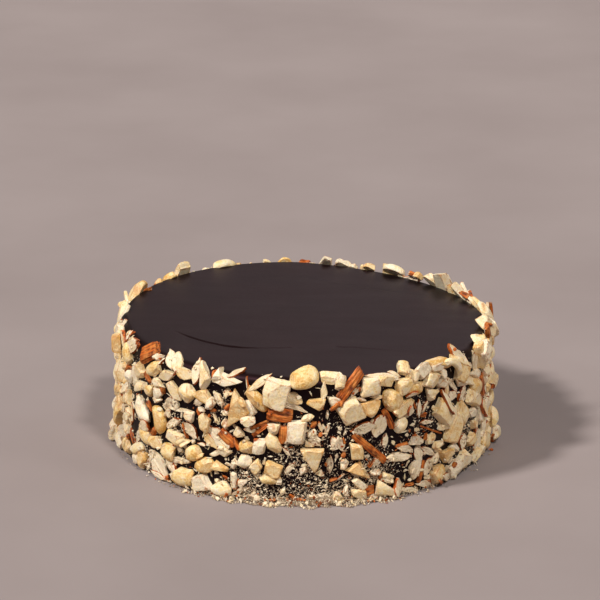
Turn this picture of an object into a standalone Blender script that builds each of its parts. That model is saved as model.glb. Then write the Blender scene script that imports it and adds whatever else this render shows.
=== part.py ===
"""A praline cake: a low round cake coated in dark ganache, with chopped nuts pressed into its side.

Metres, +Z up. The origin is the centre of the flat base, and the front faces -Y.
Azimuths are degrees round the cake, 0 at the front and growing towards +X.
Heights are measured up the side and on round its top edge, so that a nut on the rim has one too.
"""

import math
import random

import bmesh
import bpy
import numpy as np
from mathutils import Matrix

MM = 0.001

# The ganache body
BODY_RADIUS = 0.0943
BODY_HEIGHT = 0.0660
EDGE_RADIUS = 0.0045
FOOT_CHAMFER = 0.0008
SPIN_STEPS = 40
EDGE_STEPS = 3
TOP_RINGS = 3
SIDE_RINGS = 1

# The coat of nuts
ROLL_RADIUS = EDGE_RADIUS + 0.0035  # where the middle of a nut's thickness lies on the rim
COAT_CELL = 0.001
COAT_TOP = 0.074
BASE_GAP = 0.0004  # nuts end this far above the base, so that the cake rests on its own flat face
PRESSED_IN = 0.0011  # how deep a nut sits in the ganache or in the nuts under it
COAT_DEPTH = 0.0086
STEEPEST_LEAN = 0.45
RIM_PLACES = 52
RIM_SHARE = 0.85  # the size of the nuts there beside the largest
LEADING_REACH = 66.0  # degrees to each side of the front, where only the leading nuts lie
THICKEST = 0.0074
NUT_COUNT = 286
SMALLEST_SHARE = 0.66  # the last nut's size beside that of the first that falls at random
PLACES_TRIED = 40
# Of the kinds that start as a block with two flat ends: its sides, the turn of its corners, the
# radii of its inner and outer end, and its depth, all about a unit ball
BLOCKS = {
    "chunk": (4, 45, 0.88, 0.70, 1.10),
    "block": (4, 45, 0.95, 0.80, 1.00),
    "wedge": (3, -90, 0.95, 0.80, 0.90),
    "slice": (6, -90, 0.94, 0.94, 0.70),
    "shard": (4, 45, 0.90, 0.80, 0.80),
}
SHARP_ANGLE = math.radians(20.0)
SEED = 41

# Of each kind: how often it falls, its length and its width as millimetres (least, most), and
# its thickness as millimetres plus a share of the narrower of the two.
KINDS = {
    "chunk": (0.26, (10.0, 15.0), (7.0, 10.5), (1.9, 0.33)),
    "block": (0.18, (9.0, 14.0), (7.0, 10.0), (1.9, 0.33)),
    "wedge": (0.08, (10.0, 14.0), (8.0, 11.0), (1.8, 0.33)),
    "dome": (0.12, (10.0, 14.0), (8.0, 10.5), (1.6, 0.38)),
    "hook": (0.04, (15.0, 19.0), (5.5, 7.0), (1.2, 0.50)),
    "slice": (0.22, (12.0, 17.0), (6.0, 8.5), (1.7, 0.05)),
    "shard": (0.10, (13.0, 20.0), (4.2, 5.8), (2.0, 0.20)),
}

# How each kind that breaks all round is cut: its corners, or 0 for three to five, how far they
# stray in radians, and how far from the middle the cuts lie (least, most)
CUTS = {
    "chunk": (0, 0.35, (0.40, 0.78)),
    "block": (4, 0.18, (0.58, 0.74)),
    "wedge": (3, 0.12, (0.38, 0.50)),
    "shard": (4, 0.12, (0.62, 0.74)),
}

# Nuts that show as themselves at the front and on the rim: azimuth, height, length, width and
# turn from level, in degrees and millimetres. Those of the kinds written first lie underneath.
LEADING_NUTS = {
    "shard": (
        (-113, 70, 11, 4, -50), (-55, 66, 13, 8, 38), (-23, 32, 11, 5, -37), (-7, 47, 13, 7, -3),
        (-6, 37, 11, 4, 88), (14, 63, 19, 5, 51), (20, 28, 24, 4, -43), (114, 68, 8, 5, 20),
    ),
    "slice": (
        (-92, 65, 14, 6, 95), (-82, 65, 10, 6, 85), (-71, 52, 17, 5, 20), (-67, 27, 15, 7, 93),
        (-66, 63, 17, 8, 33), (-50, 7, 18, 11, -32), (-45, 68, 13, 6, 131), (-42, 68, 13, 7, 126),
        (-36, 32, 11, 6, -33), (-34, 65, 14, 5, 92), (-29, 29, 12, 5, -49), (-26, 32, 16, 11, -35),
        (-13, 64, 15, 4, 41), (-4, 52, 18, 4, -22), (-3, 56, 10, 6, -30), (3, 35, 10, 5, -47),
        (18, 39, 13, 6, 9), (23, 39, 12, 8, 68), (24, 66, 20, 5, -12), (30, 21, 15, 5, -5),
        (36, 13, 12, 8, 72), (55, 66, 17, 7, -63), (57, 43, 11, 8, 73), (69, 12, 17, 11, 105),
    ),
    "chunk": (
        (-92, 42, 12, 9, -30), (-86, 28, 14, 8, 90), (-82, 0, 17, 8, 13), (-81, 19, 16, 12, 54),
        (-77, 42, 12, 11, -15), (-45, 57, 12, 6, 20), (-42, 25, 13, 8, -8), (-42, 50, 12, 6, -46),
        (-38, 61, 11, 6, -21), (-31, 38, 10, 8, 85), (-31, 52, 13, 7, -19), (-31, 63, 15, 7, 107),
        (-26, 16, 11, 6, -6), (-23, 62, 15, 7, -2), (-14, 19, 9, 6, 71), (-9, 40, 7, 7, -29),
        (4, 53, 10, 7, 20), (6, 60, 11, 4, 85), (16, 27, 11, 7, -71), (17, 2, 10, 6, -25),
        (20, 49, 12, 9, 19), (31, 47, 14, 7, 30), (31, 58, 10, 9, 9), (34, 62, 9, 7, 78),
        (41, 50, 7, 10, 63), (41, 58, 12, 10, 13), (45, 7, 10, 10, 21), (55, 56, 13, 11, -52),
        (58, 8, 13, 11, -8), (85, 68, 14, 11, -68), (86, 15, 12, 9, 87), (88, 38, 14, 10, 30),
        (91, 54, 13, 10, -40), (134, 67, 9, 7, 40), (167, 66, 10, 7, 60), (173, 66, 12, 7, 90),
    ),
    "block": (
        (-135, 65, 20, 9, 92), (-86, 4, 12, 10, 0), (-76, 6, 12, 10, 60), (-32, 5, 12, 9, 23),
        (-16, 49, 10, 6, -59), (-13, 30, 9, 7, 80), (-9, 18, 9, 8, -18), (-8, 58, 15, 13, 80),
        (-2, 39, 12, 10, 85), (8, 70, 11, 7, -13), (14, 48, 14, 12, -60), (20, 60, 10, 10, -2),
        (25, 62, 9, 6, -17), (32, 70, 8, 7, 72), (38, 65, 9, 7, 20), (47, 38, 17, 11, -44),
        (52, 28, 17, 10, 65), (53, 4, 11, 8, 26), (56, 34, 13, 9, -52), (64, 37, 16, 8, -30),
        (69, 59, 16, 12, -69), (71, 65, 16, 7, -34), (78, 5, 12, 9, -30), (86, 5, 12, 9, 10),
        (129, 65, 19, 9, 90),
    ),
    "wedge": (
        (-26, 67, 9, 7, 95), (-19, 47, 11, 22, -11), (3, 24, 13, 12, -85), (9, 53, 7, 8, -95),
        (17, 18, 8, 14, 70), (26, 4, 15, 8, -19), (49, 14, 8, 14, -93), (120, 67, 12, 9, 90),
    ),
    "dome": (
        (-152, 69, 15, 10, 0), (-130, 67, 12, 9, 90), (-112, 65, 19, 12, 88),
        (-93, 23, 13, 10, 35), (-91, 33, 13, 10, 20), (-90, 52, 13, 10, 80), (-89, 12, 13, 10, 70),
        (-62, 9, 17, 7, 25), (-56, 21, 13, 9, -46), (-52, 57, 14, 7, 27), (-45, 17, 10, 9, -11),
        (-39, 6, 16, 10, 12), (-37, 51, 10, 10, 102), (-35, 20, 11, 8, 27), (-31, 15, 13, 8, 27),
        (-25, 4, 12, 8, 13), (-18, 21, 9, 7, 20), (-17, 29, 9, 8, 16), (-14, 54, 15, 7, -49),
        (-10, 13, 12, 6, 9), (-9, 32, 12, 7, -60), (0, 69, 16, 12, 40), (27, 52, 13, 10, -52),
        (30, 38, 9, 8, 79), (35, 55, 12, 7, -1), (45, 68, 18, 6, -10), (65, 44, 14, 9, -50),
        (88, 13, 12, 9, 40), (89, 24, 13, 10, 60), (91, 46, 13, 10, -20), (96, 65, 16, 9, 88),
        (149, 68, 13, 8, 10),
    ),
    "hook": (
        (-57, 33, 15, 8, -46), (-49, 32, 15, 8, -75),
    ),
}

GANACHE = ("ganache", (0.030, 0.024, 0.022), 0.42)
NUT = ("nut", (0.72, 0.55, 0.34), 0.60)
ALMOND_SKIN = ("almond_skin", (0.33, 0.12, 0.035), 0.65)
GANACHE_FACES = 0
NUT_FACES = 1
SKIN_FACES = 2


def clear_scene():
    for old in list(bpy.data.objects):
        bpy.data.objects.remove(old, do_unlink=True)


def finish_of(name, colour, roughness):
    """A Principled material of one colour."""
    material = bpy.data.materials.new(name)
    material.use_nodes = True
    shader = material.node_tree.nodes["Principled BSDF"]
    shader.inputs["Base Color"].default_value = (*colour, 1.0)
    shader.inputs["Roughness"].default_value = roughness
    shader.inputs["Metallic"].default_value = 0.0
    return material


def top_relief(x, y):
    """How far the spread top stands above or below level: highest at the back left."""
    across = x / BODY_RADIUS
    back = 0.5 + 0.5 * y / BODY_RADIUS
    swell = 0.35 * MM * math.cos(2.6 * across + 0.8) * math.cos(2.2 * back - 0.4)
    fall = 2.0 * across + 1.2 * max(across, 0.0) + 0.3
    corner = max(across, 0.0) * max(y / BODY_RADIUS, 0.0)
    return swell - MM * (fall * back + 3.4 * corner)


def body_profile():
    """The ganache's outline at +X, from the middle of the top, round the edge, down to the base."""
    flat = BODY_RADIUS - EDGE_RADIUS
    outline = [(flat * ring / TOP_RINGS, BODY_HEIGHT) for ring in range(TOP_RINGS)]
    for step in range(EDGE_STEPS + 1):
        angle = math.radians(90.0 * (1 - step / EDGE_STEPS))
        across = flat + EDGE_RADIUS * math.cos(angle)
        outline.append((across, BODY_HEIGHT - EDGE_RADIUS * (1 - math.sin(angle))))
    drop = BODY_HEIGHT - EDGE_RADIUS - FOOT_CHAMFER
    for ring in range(1, SIDE_RINGS + 1):
        outline.append((BODY_RADIUS, FOOT_CHAMFER + drop * (1 - ring / SIDE_RINGS)))
    outline.append((BODY_RADIUS - FOOT_CHAMFER, 0.0))
    outline.append((0.0, 0.0))
    return outline


def turned_body(collection):
    """The ganache body: the profile turned on Z, then its top given its slight unevenness."""
    outline = body_profile()
    mesh = bpy.data.meshes.new("praline_cake")
    corners = [(across, 0.0, up) for across, up in outline]
    mesh.from_pydata(corners, [(i, i + 1) for i in range(len(corners) - 1)], [])
    body = bpy.data.objects.new("praline_cake", mesh)
    collection.objects.link(body)
    screw = body.modifiers.new("turn", "SCREW")
    screw.steps = screw.render_steps = SPIN_STEPS
    screw.use_merge_vertices = True
    screw.merge_threshold = 0.00001
    bake_modifiers(body)
    for vertex in body.data.vertices:
        if vertex.co.z > BODY_HEIGHT - EDGE_RADIUS:
            raised = (vertex.co.z - BODY_HEIGHT + EDGE_RADIUS) / EDGE_RADIUS
            vertex.co.z += raised * top_relief(vertex.co.x, vertex.co.y)
    return body


def bake_modifiers(thing):
    """Replaces an object's mesh by the one its modifiers make."""
    bpy.context.view_layer.update()
    evaluated = thing.evaluated_get(bpy.context.evaluated_depsgraph_get())
    made = bpy.data.meshes.new_from_object(evaluated)
    thing.modifiers.clear()
    thing.data = made


def unit(vector):
    return vector / np.linalg.norm(vector)


def flat_breaks(kind, rng):
    """The flat faces that cut one nut out of a unit ball: (direction, distance from the middle)."""
    if kind == "slice":
        return [(np.array([0, 0, 1.0]), 0.30), (np.array([0, 0, -1.0]), 0.30)]
    if kind == "hook":
        ends = [(unit(np.array([side, 0, rng.uniform(-0.4, 0.4)])), 0.82) for side in (-1, 1)]
        return ends + [(np.array([0, 0, -1.0]), 0.60), (unit(np.array([0, 0.3, 0.95])), 0.86)]
    if kind == "dome":
        angle = rng.uniform(0, math.tau)
        side = np.array([math.cos(angle), math.sin(angle), rng.uniform(-0.2, 0.3)])
        return [(np.array([0, 0, -1.0]), 0.40), (unit(side), rng.uniform(0.60, 0.85))]
    return all_round_breaks(kind, rng)


def all_round_breaks(kind, rng):
    """The breaks of a piece that is cut on every side, with one across its outer end."""
    corners, stray, distances = CUTS[kind]
    start = rng.uniform(0, math.tau) if kind == "chunk" else math.pi
    corners = corners or rng.choice((3, 4, 4, 5))
    breaks = [(np.array([0, 0, -1.0]), 0.45)]
    for corner in range(corners):
        angle = start + math.tau * corner / corners + rng.uniform(-stray, stray)
        side = np.array([math.cos(angle), math.sin(angle), rng.uniform(-0.15, 0.28)])
        breaks.append((unit(side), rng.uniform(*distances)))
    lid = np.array([rng.uniform(-0.45, 0.45), rng.uniform(-0.45, 0.45), 1.0])
    breaks.append((unit(lid), rng.uniform(0.55, 0.95)))
    return breaks


def cut_ball(directions, breaks, crispness):
    """Points of a unit ball along these directions, cut by the breaks with softened edges."""
    measure = np.ones(len(directions))
    for normal, distance in breaks:
        measure += np.maximum(directions @ normal / distance, 0.0) ** crispness
    return directions * (measure ** (-1.0 / crispness))[:, None]


def nut_form(directions, nut, crispness):
    """One nut's points about its own middle: x along it, y across it, z out of the cake."""
    kind, _, _, length, width, _, seed = nut
    rng = random.Random(seed)
    points = cut_ball(directions, flat_breaks(kind, rng), crispness)
    low, high = points.min(axis=0), points.max(axis=0)
    points = (points - (low + high) / 2) / (high - low)
    if kind == "slice":
        points[:, 1] *= 1.0 - pinch_of(points[:, 1], seed) * points[:, 0] ** 2
    if kind == "dome":
        points[:, 1] *= 1.0 + 0.35 * points[:, 0]
    points *= np.array([length, width, thickness_of(nut)])
    if kind == "hook":
        points = bent(points, 0.42 * length, 1 if rng.random() < 0.5 else -1)
    return points


def pinch_of(across, seed):
    """How far a slice narrows to its ends, on its one side and on its other."""
    rng = random.Random(seed)
    one, other = rng.uniform(1.6, 3.4), rng.uniform(0.2, 2.4)
    return np.where(across > 0, one, other)


def bent(points, radius, side):
    """The points with their length wrapped round a circle that lies to one side of them."""
    angle = points[:, 0] / radius
    across = radius + side * points[:, 1]
    sunk = radius * 0.8
    return np.stack([across * np.sin(angle), side * (across * np.cos(angle) - sunk), points[:, 2]], 1)


def thickness_of(nut):
    base, share = KINDS[nut[0]][3]
    return min(base * MM + share * min(nut[3], nut[4]), THICKEST)


def side_frame(azimuth, height):
    """A point of the ganache's side, and the directions right, up the side and out of it there."""
    turn = math.radians(azimuth)
    away = np.array([math.sin(turn), -math.cos(turn), 0.0])
    right = np.array([math.cos(turn), math.sin(turn), 0.0])
    up = np.array([0.0, 0.0, 1.0])
    start = BODY_HEIGHT - EDGE_RADIUS
    roll = max(0.0, (height - start) / ROLL_RADIUS)
    out = away * math.cos(roll) + up * math.sin(roll)
    climb = up * math.cos(roll) - away * math.sin(roll)
    point = away * (BODY_RADIUS - EDGE_RADIUS) + up * min(height, start) + out * EDGE_RADIUS
    return point, right, climb, out


class Coat:
    """How thick the nuts lie at each place of the side, on a grid of rows up it and columns round."""

    def __init__(self):
        self.columns = round(math.tau * (BODY_RADIUS + 0.5 * COAT_DEPTH) / COAT_CELL)
        self.rows = round(COAT_TOP / COAT_CELL)
        self.depth = np.zeros((self.rows, self.columns))

    def footprint(self, nut):
        """The cells under a nut, and where each lies along and across it, in half sizes."""
        _, azimuth, height, length, width, turn, _ = nut
        reach = int(0.5 * max(length, width) / COAT_CELL) + 1
        column = azimuth / 360.0 * self.columns
        row = height / COAT_CELL
        columns = np.arange(math.floor(column) - reach, math.floor(column) + reach + 2)
        rows = np.arange(max(0, math.floor(row) - reach), min(self.rows, math.floor(row) + reach + 2))
        right, climb = np.meshgrid((columns + 0.5 - column), (rows + 0.5 - row))
        right, climb = right * COAT_CELL, climb * COAT_CELL
        angle = math.radians(turn)
        along = (right * math.cos(angle) + climb * math.sin(angle)) / (0.5 * length)
        across = (climb * math.cos(angle) - right * math.sin(angle)) / (0.5 * width)
        inside = along**2 + across**2 <= 1.0
        cells = np.ix_(rows, columns % self.columns)
        return cells, inside, along, across

    def lack(self, nut):
        """How much thinner the coat is under a nut than a full one."""
        cells, inside, _, _ = self.footprint(nut)
        return COAT_DEPTH - self.depth[cells][inside].mean()

    def settle(self, nut):
        """Lays a nut on what is under it: how far out its middle comes, and how it leans."""
        cells, inside, along, across = self.footprint(nut)
        under = self.depth[cells]
        _, _, _, length, width, _, _ = nut
        thickness = thickness_of(nut)
        steps = np.stack([np.ones(inside.sum()), along[inside] * 0.5 * length, across[inside] * 0.5 * width])
        _, rise_along, rise_across = np.linalg.lstsq(steps.T, under[inside], rcond=None)[0]
        rise_along = min(max(0.7 * rise_along, -STEEPEST_LEAN), STEEPEST_LEAN)
        rise_across = min(max(0.7 * rise_across, -STEEPEST_LEAN), STEEPEST_LEAN)
        out = np.percentile(under[inside], 65) + 0.5 * thickness - PRESSED_IN
        slope = rise_along * along * 0.5 * length + rise_across * across * 0.5 * width
        bulge = 0.5 * thickness * np.sqrt(np.clip(1.0 - along**2 - across**2, 0.0, 1.0))
        self.depth[cells] = np.where(inside, np.maximum(under, out + slope + bulge), under)
        return out, rise_along, rise_across


def kept_above_base(nut):
    """The nut with its height raised until its lowest end is clear of the base."""
    kind, azimuth, height, length, width, turn, seed = nut
    angle = math.radians(turn)
    reach = 0.5 * math.hypot(length * math.sin(angle), width * math.cos(angle))
    return kind, azimuth, max(height, reach + BASE_GAP), length, width, turn, seed


def leading_nuts():
    seed = SEED
    for kind, places in LEADING_NUTS.items():
        for azimuth, height, length, width, turn in places:
            seed += 1
            yield kind, azimuth, height * MM, length * MM, width * MM, turn, seed


def drawn_kind(rng):
    chance = rng.random()
    for kind, (share, _, _, _) in KINDS.items():
        chance -= share
        if chance < 0:
            return kind
    return "chunk"


def drawn_nut(rng, size, seed):
    """A nut of a random kind and turn, its length and width scaled by size, at no place yet."""
    kind = drawn_kind(rng)
    _, lengths, widths, _ = KINDS[kind]
    length = rng.uniform(*lengths) * MM * size
    width = min(rng.uniform(*widths) * MM * size, 0.9 * length)
    return kind, 0.0, 0.0, length, width, rng.uniform(-90, 90), seed


def moved(nut, azimuth, height, turn):
    kind, _, _, length, width, _, seed = nut
    return kept_above_base((kind, azimuth, height, length, width, turn, seed))


def rim_nut(coat, rng, index, seed):
    """A nut that rises over the top edge, or None where the edge is covered already."""
    azimuth = 360.0 * (index + rng.uniform(-0.3, 0.3)) / RIM_PLACES - 180.0
    height = BODY_HEIGHT + rng.uniform(-9.0, -2.0) * MM
    nut = moved(drawn_nut(rng, RIM_SHARE, seed), azimuth, height, rng.uniform(20, 160))
    open_place = abs(azimuth) > LEADING_REACH and coat.lack(nut) > 0.45 * COAT_DEPTH
    return nut if open_place else None


def side_nut(coat, rng, size, seed):
    """A nut at whichever of a few random places of the sides and back lacks most of its coat."""
    nut = drawn_nut(rng, size, seed)
    most = -math.inf
    for _ in range(PLACES_TRIED):
        azimuth = 180.0 + rng.uniform(-1, 1) * (180.0 - LEADING_REACH)
        height = rng.uniform(0.0, BODY_HEIGHT - 0.002)
        tried = moved(nut, azimuth, height, rng.uniform(-90, 90))
        lack = coat.lack(tried) * rng.uniform(0.75, 1.0)
        if lack > most:
            best, most = tried, lack
    return best


def laid_nuts(count):
    """Every nut that the solid holds, each with how it has settled."""
    coat = Coat()
    rng = random.Random(SEED)
    laid = []
    for nut in leading_nuts():
        nut = kept_above_base(nut)
        laid.append((nut, coat.settle(nut)))
    for index in range(RIM_PLACES):
        nut = rim_nut(coat, rng, index, SEED + 200 + index)
        if nut:
            laid.append((nut, coat.settle(nut)))
    first = len(laid)
    for index in range(first, count):
        size = 1.0 - (1.0 - SMALLEST_SHARE) * (index - first) / (count - first)
        nut = side_nut(coat, rng, size, SEED + 300 + index)
        laid.append((nut, coat.settle(nut)))
    return laid


def placed(points, nut, settled):
    """A nut's points moved from its own middle to its place on the side."""
    out_by, rise_along, rise_across = settled
    origin, right, climb, out = side_frame(nut[1], nut[2])
    angle = math.radians(nut[5])
    along = right * math.cos(angle) + climb * math.sin(angle)
    across = climb * math.cos(angle) - right * math.sin(angle)
    lengthways = unit(along + rise_along * out)
    outward = unit(out - rise_along * along - rise_across * across)
    sideways = np.cross(outward, lengthways)
    world = origin + out * out_by + points @ np.array([lengthways, sideways, outward])
    world[:, 2] += max(0.0, BASE_GAP - world[:, 2].min())
    return world


def nut_solid(index, nut, settled, finishes, collection):
    """One nut with few sides: a cut block, a dome, or a bent rod with its poles at its two ends."""
    shell = bmesh.new()
    if nut[0] in BLOCKS:
        sides, turn, low, top, depth = BLOCKS[nut[0]]
        bmesh.ops.create_cone(
            shell, cap_ends=True, segments=sides, radius1=low, radius2=top, depth=depth,
            matrix=Matrix.Rotation(math.radians(turn), 4, "Z"),
        )
    elif nut[0] == "dome":
        bmesh.ops.create_icosphere(shell, subdivisions=1, radius=1.0)
    else:
        bmesh.ops.create_uvsphere(shell, u_segments=4, v_segments=6, radius=1.0)
        bmesh.ops.rotate(shell, verts=shell.verts, matrix=Matrix.Rotation(math.pi / 2, 3, "Y"))
    ball = np.array([vertex.co.normalized() for vertex in shell.verts])
    world = placed(nut_form(ball, nut, 6.0), nut, settled)
    for vertex, point in zip(shell.verts, world):
        vertex.co = point
    brown = nut[0] == "shard"
    for face in shell.faces:
        face.material_index = SKIN_FACES if brown else NUT_FACES
    bmesh.ops.triangulate(shell, faces=shell.faces)
    mesh = bpy.data.meshes.new(f"nut_{index}")
    shell.to_mesh(mesh)
    shell.free()
    for finish in finishes:
        mesh.materials.append(finish)
    thing = bpy.data.objects.new(f"nut_{index}", mesh)
    collection.objects.link(thing)
    return thing


def keep_outer_body(mesh):
    """Drops every loose scrap and sealed hollow, leaving the one body with the most faces."""
    shell = bmesh.new()
    shell.from_mesh(mesh)
    left = set(shell.verts)
    bodies = []
    while left:
        waiting = [left.pop()]
        body = set(waiting)
        while waiting:
            for edge in waiting.pop().link_edges:
                for vertex in edge.verts:
                    if vertex in left:
                        left.remove(vertex)
                        body.add(vertex)
                        waiting.append(vertex)
        bodies.append(body)
    bodies.sort(key=len)
    for scrap in bodies[:-1]:
        bmesh.ops.delete(shell, geom=list(scrap), context="VERTS")
    shell.to_mesh(mesh)
    shell.free()


def fuse(body, pressed):
    """Joins the body with every nut of a collection, and then removes the collection."""
    join = body.modifiers.new("nuts", "BOOLEAN")
    join.operation = "UNION"
    join.solver = "MANIFOLD"
    join.operand_type = "COLLECTION"
    join.collection = pressed
    bake_modifiers(body)
    for nut in list(pressed.objects):
        bpy.data.objects.remove(nut, do_unlink=True)
    bpy.data.collections.remove(pressed)
    keep_outer_body(body.data)
    body.data.shade_smooth()
    body.data.set_sharp_from_angle(angle=SHARP_ANGLE)


def main():
    clear_scene()
    cake = bpy.data.collections.new("praline cake")
    pressed = bpy.data.collections.new("pressed nuts")
    bpy.context.scene.collection.children.link(cake)
    bpy.context.scene.collection.children.link(pressed)
    finishes = [finish_of(*finish) for finish in (GANACHE, NUT, ALMOND_SKIN)]
    body = turned_body(cake)
    for finish in finishes:
        body.data.materials.append(finish)
    for index, (nut, settled) in enumerate(laid_nuts(NUT_COUNT)):
        nut_solid(index, nut, settled, finishes, pressed)
    fuse(body, pressed)


main()
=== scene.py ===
import math
import random

import bmesh
import bpy
import numpy as np
from mathutils import Matrix, Vector
from mathutils.bvhtree import BVHTree


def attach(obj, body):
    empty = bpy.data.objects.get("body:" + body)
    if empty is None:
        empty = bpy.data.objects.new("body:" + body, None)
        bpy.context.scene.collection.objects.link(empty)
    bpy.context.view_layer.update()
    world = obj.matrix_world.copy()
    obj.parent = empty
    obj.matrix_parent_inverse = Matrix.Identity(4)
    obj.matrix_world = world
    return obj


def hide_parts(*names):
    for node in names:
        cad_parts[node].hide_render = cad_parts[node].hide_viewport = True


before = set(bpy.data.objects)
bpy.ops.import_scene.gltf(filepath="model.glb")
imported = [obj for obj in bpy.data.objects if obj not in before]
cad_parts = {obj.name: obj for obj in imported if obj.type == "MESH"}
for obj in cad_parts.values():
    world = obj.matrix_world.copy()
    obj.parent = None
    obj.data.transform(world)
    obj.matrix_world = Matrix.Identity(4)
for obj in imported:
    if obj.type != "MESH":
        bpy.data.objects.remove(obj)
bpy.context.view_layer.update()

# The looks of a praline cake: dark ganache with a spread top, and a coat of chopped cashews,
# almonds, chips and crumbs on its side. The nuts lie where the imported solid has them, by the same
# rules and the same seeds, with finer forms, and smaller ones fill in between them.

MM = 0.001
NODE = "praline_cake"

# The ganache body, as in the construction
BODY_RADIUS = 0.0943
BODY_HEIGHT = 0.0660
EDGE_RADIUS = 0.0045
FOOT_CHAMFER = 0.0008

# The coat of nuts, as in the construction
ROLL_RADIUS = EDGE_RADIUS + 0.0035
COAT_CELL = 0.001
COAT_TOP = 0.074
BASE_GAP = 0.0004
PRESSED_IN = 0.0011
COAT_DEPTH = 0.0086
STEEPEST_LEAN = 0.45
RIM_PLACES = 52
RIM_SHARE = 0.85
LEADING_REACH = 66.0
THICKEST = 0.0074
NUT_COUNT = 286
SMALLEST_SHARE = 0.66
PLACES_TRIED = 40
SEED = 41
RIM_SEED = SEED + 200
RULE_SEED = SEED + 300
# Each kind's share of all, its lengths and widths, and its thickness: some millimetres, and a share
# of its smaller side
KINDS = {
    "chunk": (0.26, (10.0, 15.0), (7.0, 10.5), (1.9, 0.33)),
    "block": (0.18, (9.0, 14.0), (7.0, 10.0), (1.9, 0.33)),
    "wedge": (0.08, (10.0, 14.0), (8.0, 11.0), (1.8, 0.33)),
    "dome": (0.12, (10.0, 14.0), (8.0, 10.5), (1.6, 0.38)),
    "hook": (0.04, (15.0, 19.0), (5.5, 7.0), (1.2, 0.50)),
    "slice": (0.22, (12.0, 17.0), (6.0, 8.5), (1.7, 0.05)),
    "shard": (0.10, (13.0, 20.0), (4.2, 5.8), (2.0, 0.20)),
}
# How many breaks go round a kind (0 draws it), how far their turn strays, and their distances
CUTS = {
    "chunk": (0, 0.35, (0.40, 0.78)),
    "block": (4, 0.18, (0.58, 0.74)),
    "wedge": (3, 0.12, (0.38, 0.50)),
    "shard": (4, 0.12, (0.62, 0.74)),
}
# Nuts read off the photograph. Each has its azimuth in degrees, where 0 is the front, its height,
# length and width in millimetres, its turn, and its look: see LOOK_TONES.
LEADING_NUTS = {
    "shard": """
        -113 70 11 4 -50 s, -55 66 13 8 38 s, -23 32 11 5 -37 s, -7 47 13 7 -3 s, -6 37 11 4 88 s,
        14 63 19 5 51 s, 20 28 24 4 -43 s, 114 68 8 5 20 s""",
    "slice": """
        -92 65 14 6 95 w, -82 65 10 6 85 w, -71 52 17 5 20 w, -67 27 15 7 93 c, -66 63 17 8 33 w,
        -50 7 18 11 -32 w, -45 68 13 6 131 w, -42 68 13 7 126 c, -36 32 11 6 -33 y,
        -34 65 14 5 92 w, -29 29 12 5 -49 g, -26 32 16 11 -35 w, -13 64 15 4 41 c, -4 52 18 4 -22 y,
        -3 56 10 6 -30 c, 3 35 10 5 -47 y, 18 39 13 6 9 w, 23 39 12 8 68 w, 24 66 20 5 -12 w,
        30 21 15 5 -5 w, 36 13 12 8 72 y, 55 66 17 7 -63 c, 57 43 11 8 73 w, 69 12 17 11 105 w""",
    "chunk": """
        -92 42 12 9 -30 c, -86 28 14 8 90 g, -82 0 17 8 13 g, -81 19 16 12 54 g, -77 42 12 11 -15 g,
        -45 57 12 6 20 c, -42 25 13 8 -8 c, -42 50 12 6 -46 c, -38 61 11 6 -21 c, -31 38 10 8 85 g,
        -31 52 13 7 -19 g, -31 63 15 7 107 c, -26 16 11 6 -6 g, -23 62 15 7 -2 w, -14 19 9 6 71 c,
        -9 40 7 7 -29 c, 4 53 10 7 20 g, 6 60 11 4 85 c, 16 27 11 7 -71 g, 17 2 10 6 -25 c,
        20 49 12 9 19 g, 31 47 14 7 30 g, 31 58 10 9 9 g, 34 62 9 7 78 c, 41 50 7 10 63 c,
        41 58 12 10 13 c, 45 7 10 10 21 g, 55 56 13 11 -52 g, 58 8 13 11 -8 c, 85 68 14 11 -68 c,
        86 15 12 9 87 g, 88 38 14 10 30 c, 91 54 13 10 -40 g, 134 67 9 7 40 c, 167 66 10 7 60 w,
        173 66 12 7 90 w""",
    "block": """
        -135 65 20 9 92 c, -86 4 12 10 0 w, -76 6 12 10 60 w, -32 5 12 9 23 w, -16 49 10 6 -59 w,
        -13 30 9 7 80 w, -9 18 9 8 -18 g, -8 58 15 13 80 c, -2 39 12 10 85 w, 8 70 11 7 -13 c,
        14 48 14 12 -60 c, 20 60 10 10 -2 c, 25 62 9 6 -17 g, 32 70 8 7 72 c, 38 65 9 7 20 y,
        47 38 17 11 -44 c, 52 28 17 10 65 g, 53 4 11 8 26 y, 56 34 13 9 -52 g, 64 37 16 8 -30 c,
        69 59 16 12 -69 g, 71 65 16 7 -34 c, 78 5 12 9 -30 g, 86 5 12 9 10 c, 129 65 19 9 90 w""",
    "wedge": """
        -26 67 9 7 95 w, -19 47 11 22 -11 g, 3 24 13 12 -85 g, 9 53 7 8 -95 w, 17 18 8 14 70 g,
        26 4 15 8 -19 c, 49 14 8 14 -93 g, 120 67 12 9 90 c""",
    "dome": """
        -152 69 15 10 0 c, -130 67 12 9 90 g, -112 65 19 12 88 g, -93 23 13 10 35 g,
        -91 33 13 10 20 c, -90 52 13 10 80 g, -89 12 13 10 70 g, -62 9 17 7 25 c, -56 21 13 9 -46 g,
        -52 57 14 7 27 g, -45 17 10 9 -11 g, -39 6 16 10 12 g, -37 51 10 10 102 g, -35 20 11 8 27 g,
        -31 15 13 8 27 g, -25 4 12 8 13 c, -18 21 9 7 20 w, -17 29 9 8 16 g, -14 54 15 7 -49 g,
        -10 13 12 6 9 g, -9 32 12 7 -60 g, 0 69 16 12 40 g, 27 52 13 10 -52 g, 30 38 9 8 79 c,
        35 55 12 7 -1 g, 45 68 18 6 -10 g, 65 44 14 9 -50 g, 88 13 12 9 40 c, 89 24 13 10 60 g,
        91 46 13 10 -20 c, 96 65 16 9 88 c, 149 68 13 8 10 c""",
    "hook": "-57 33 15 8 -46 w, -49 32 15 8 -75 g",
}

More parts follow.
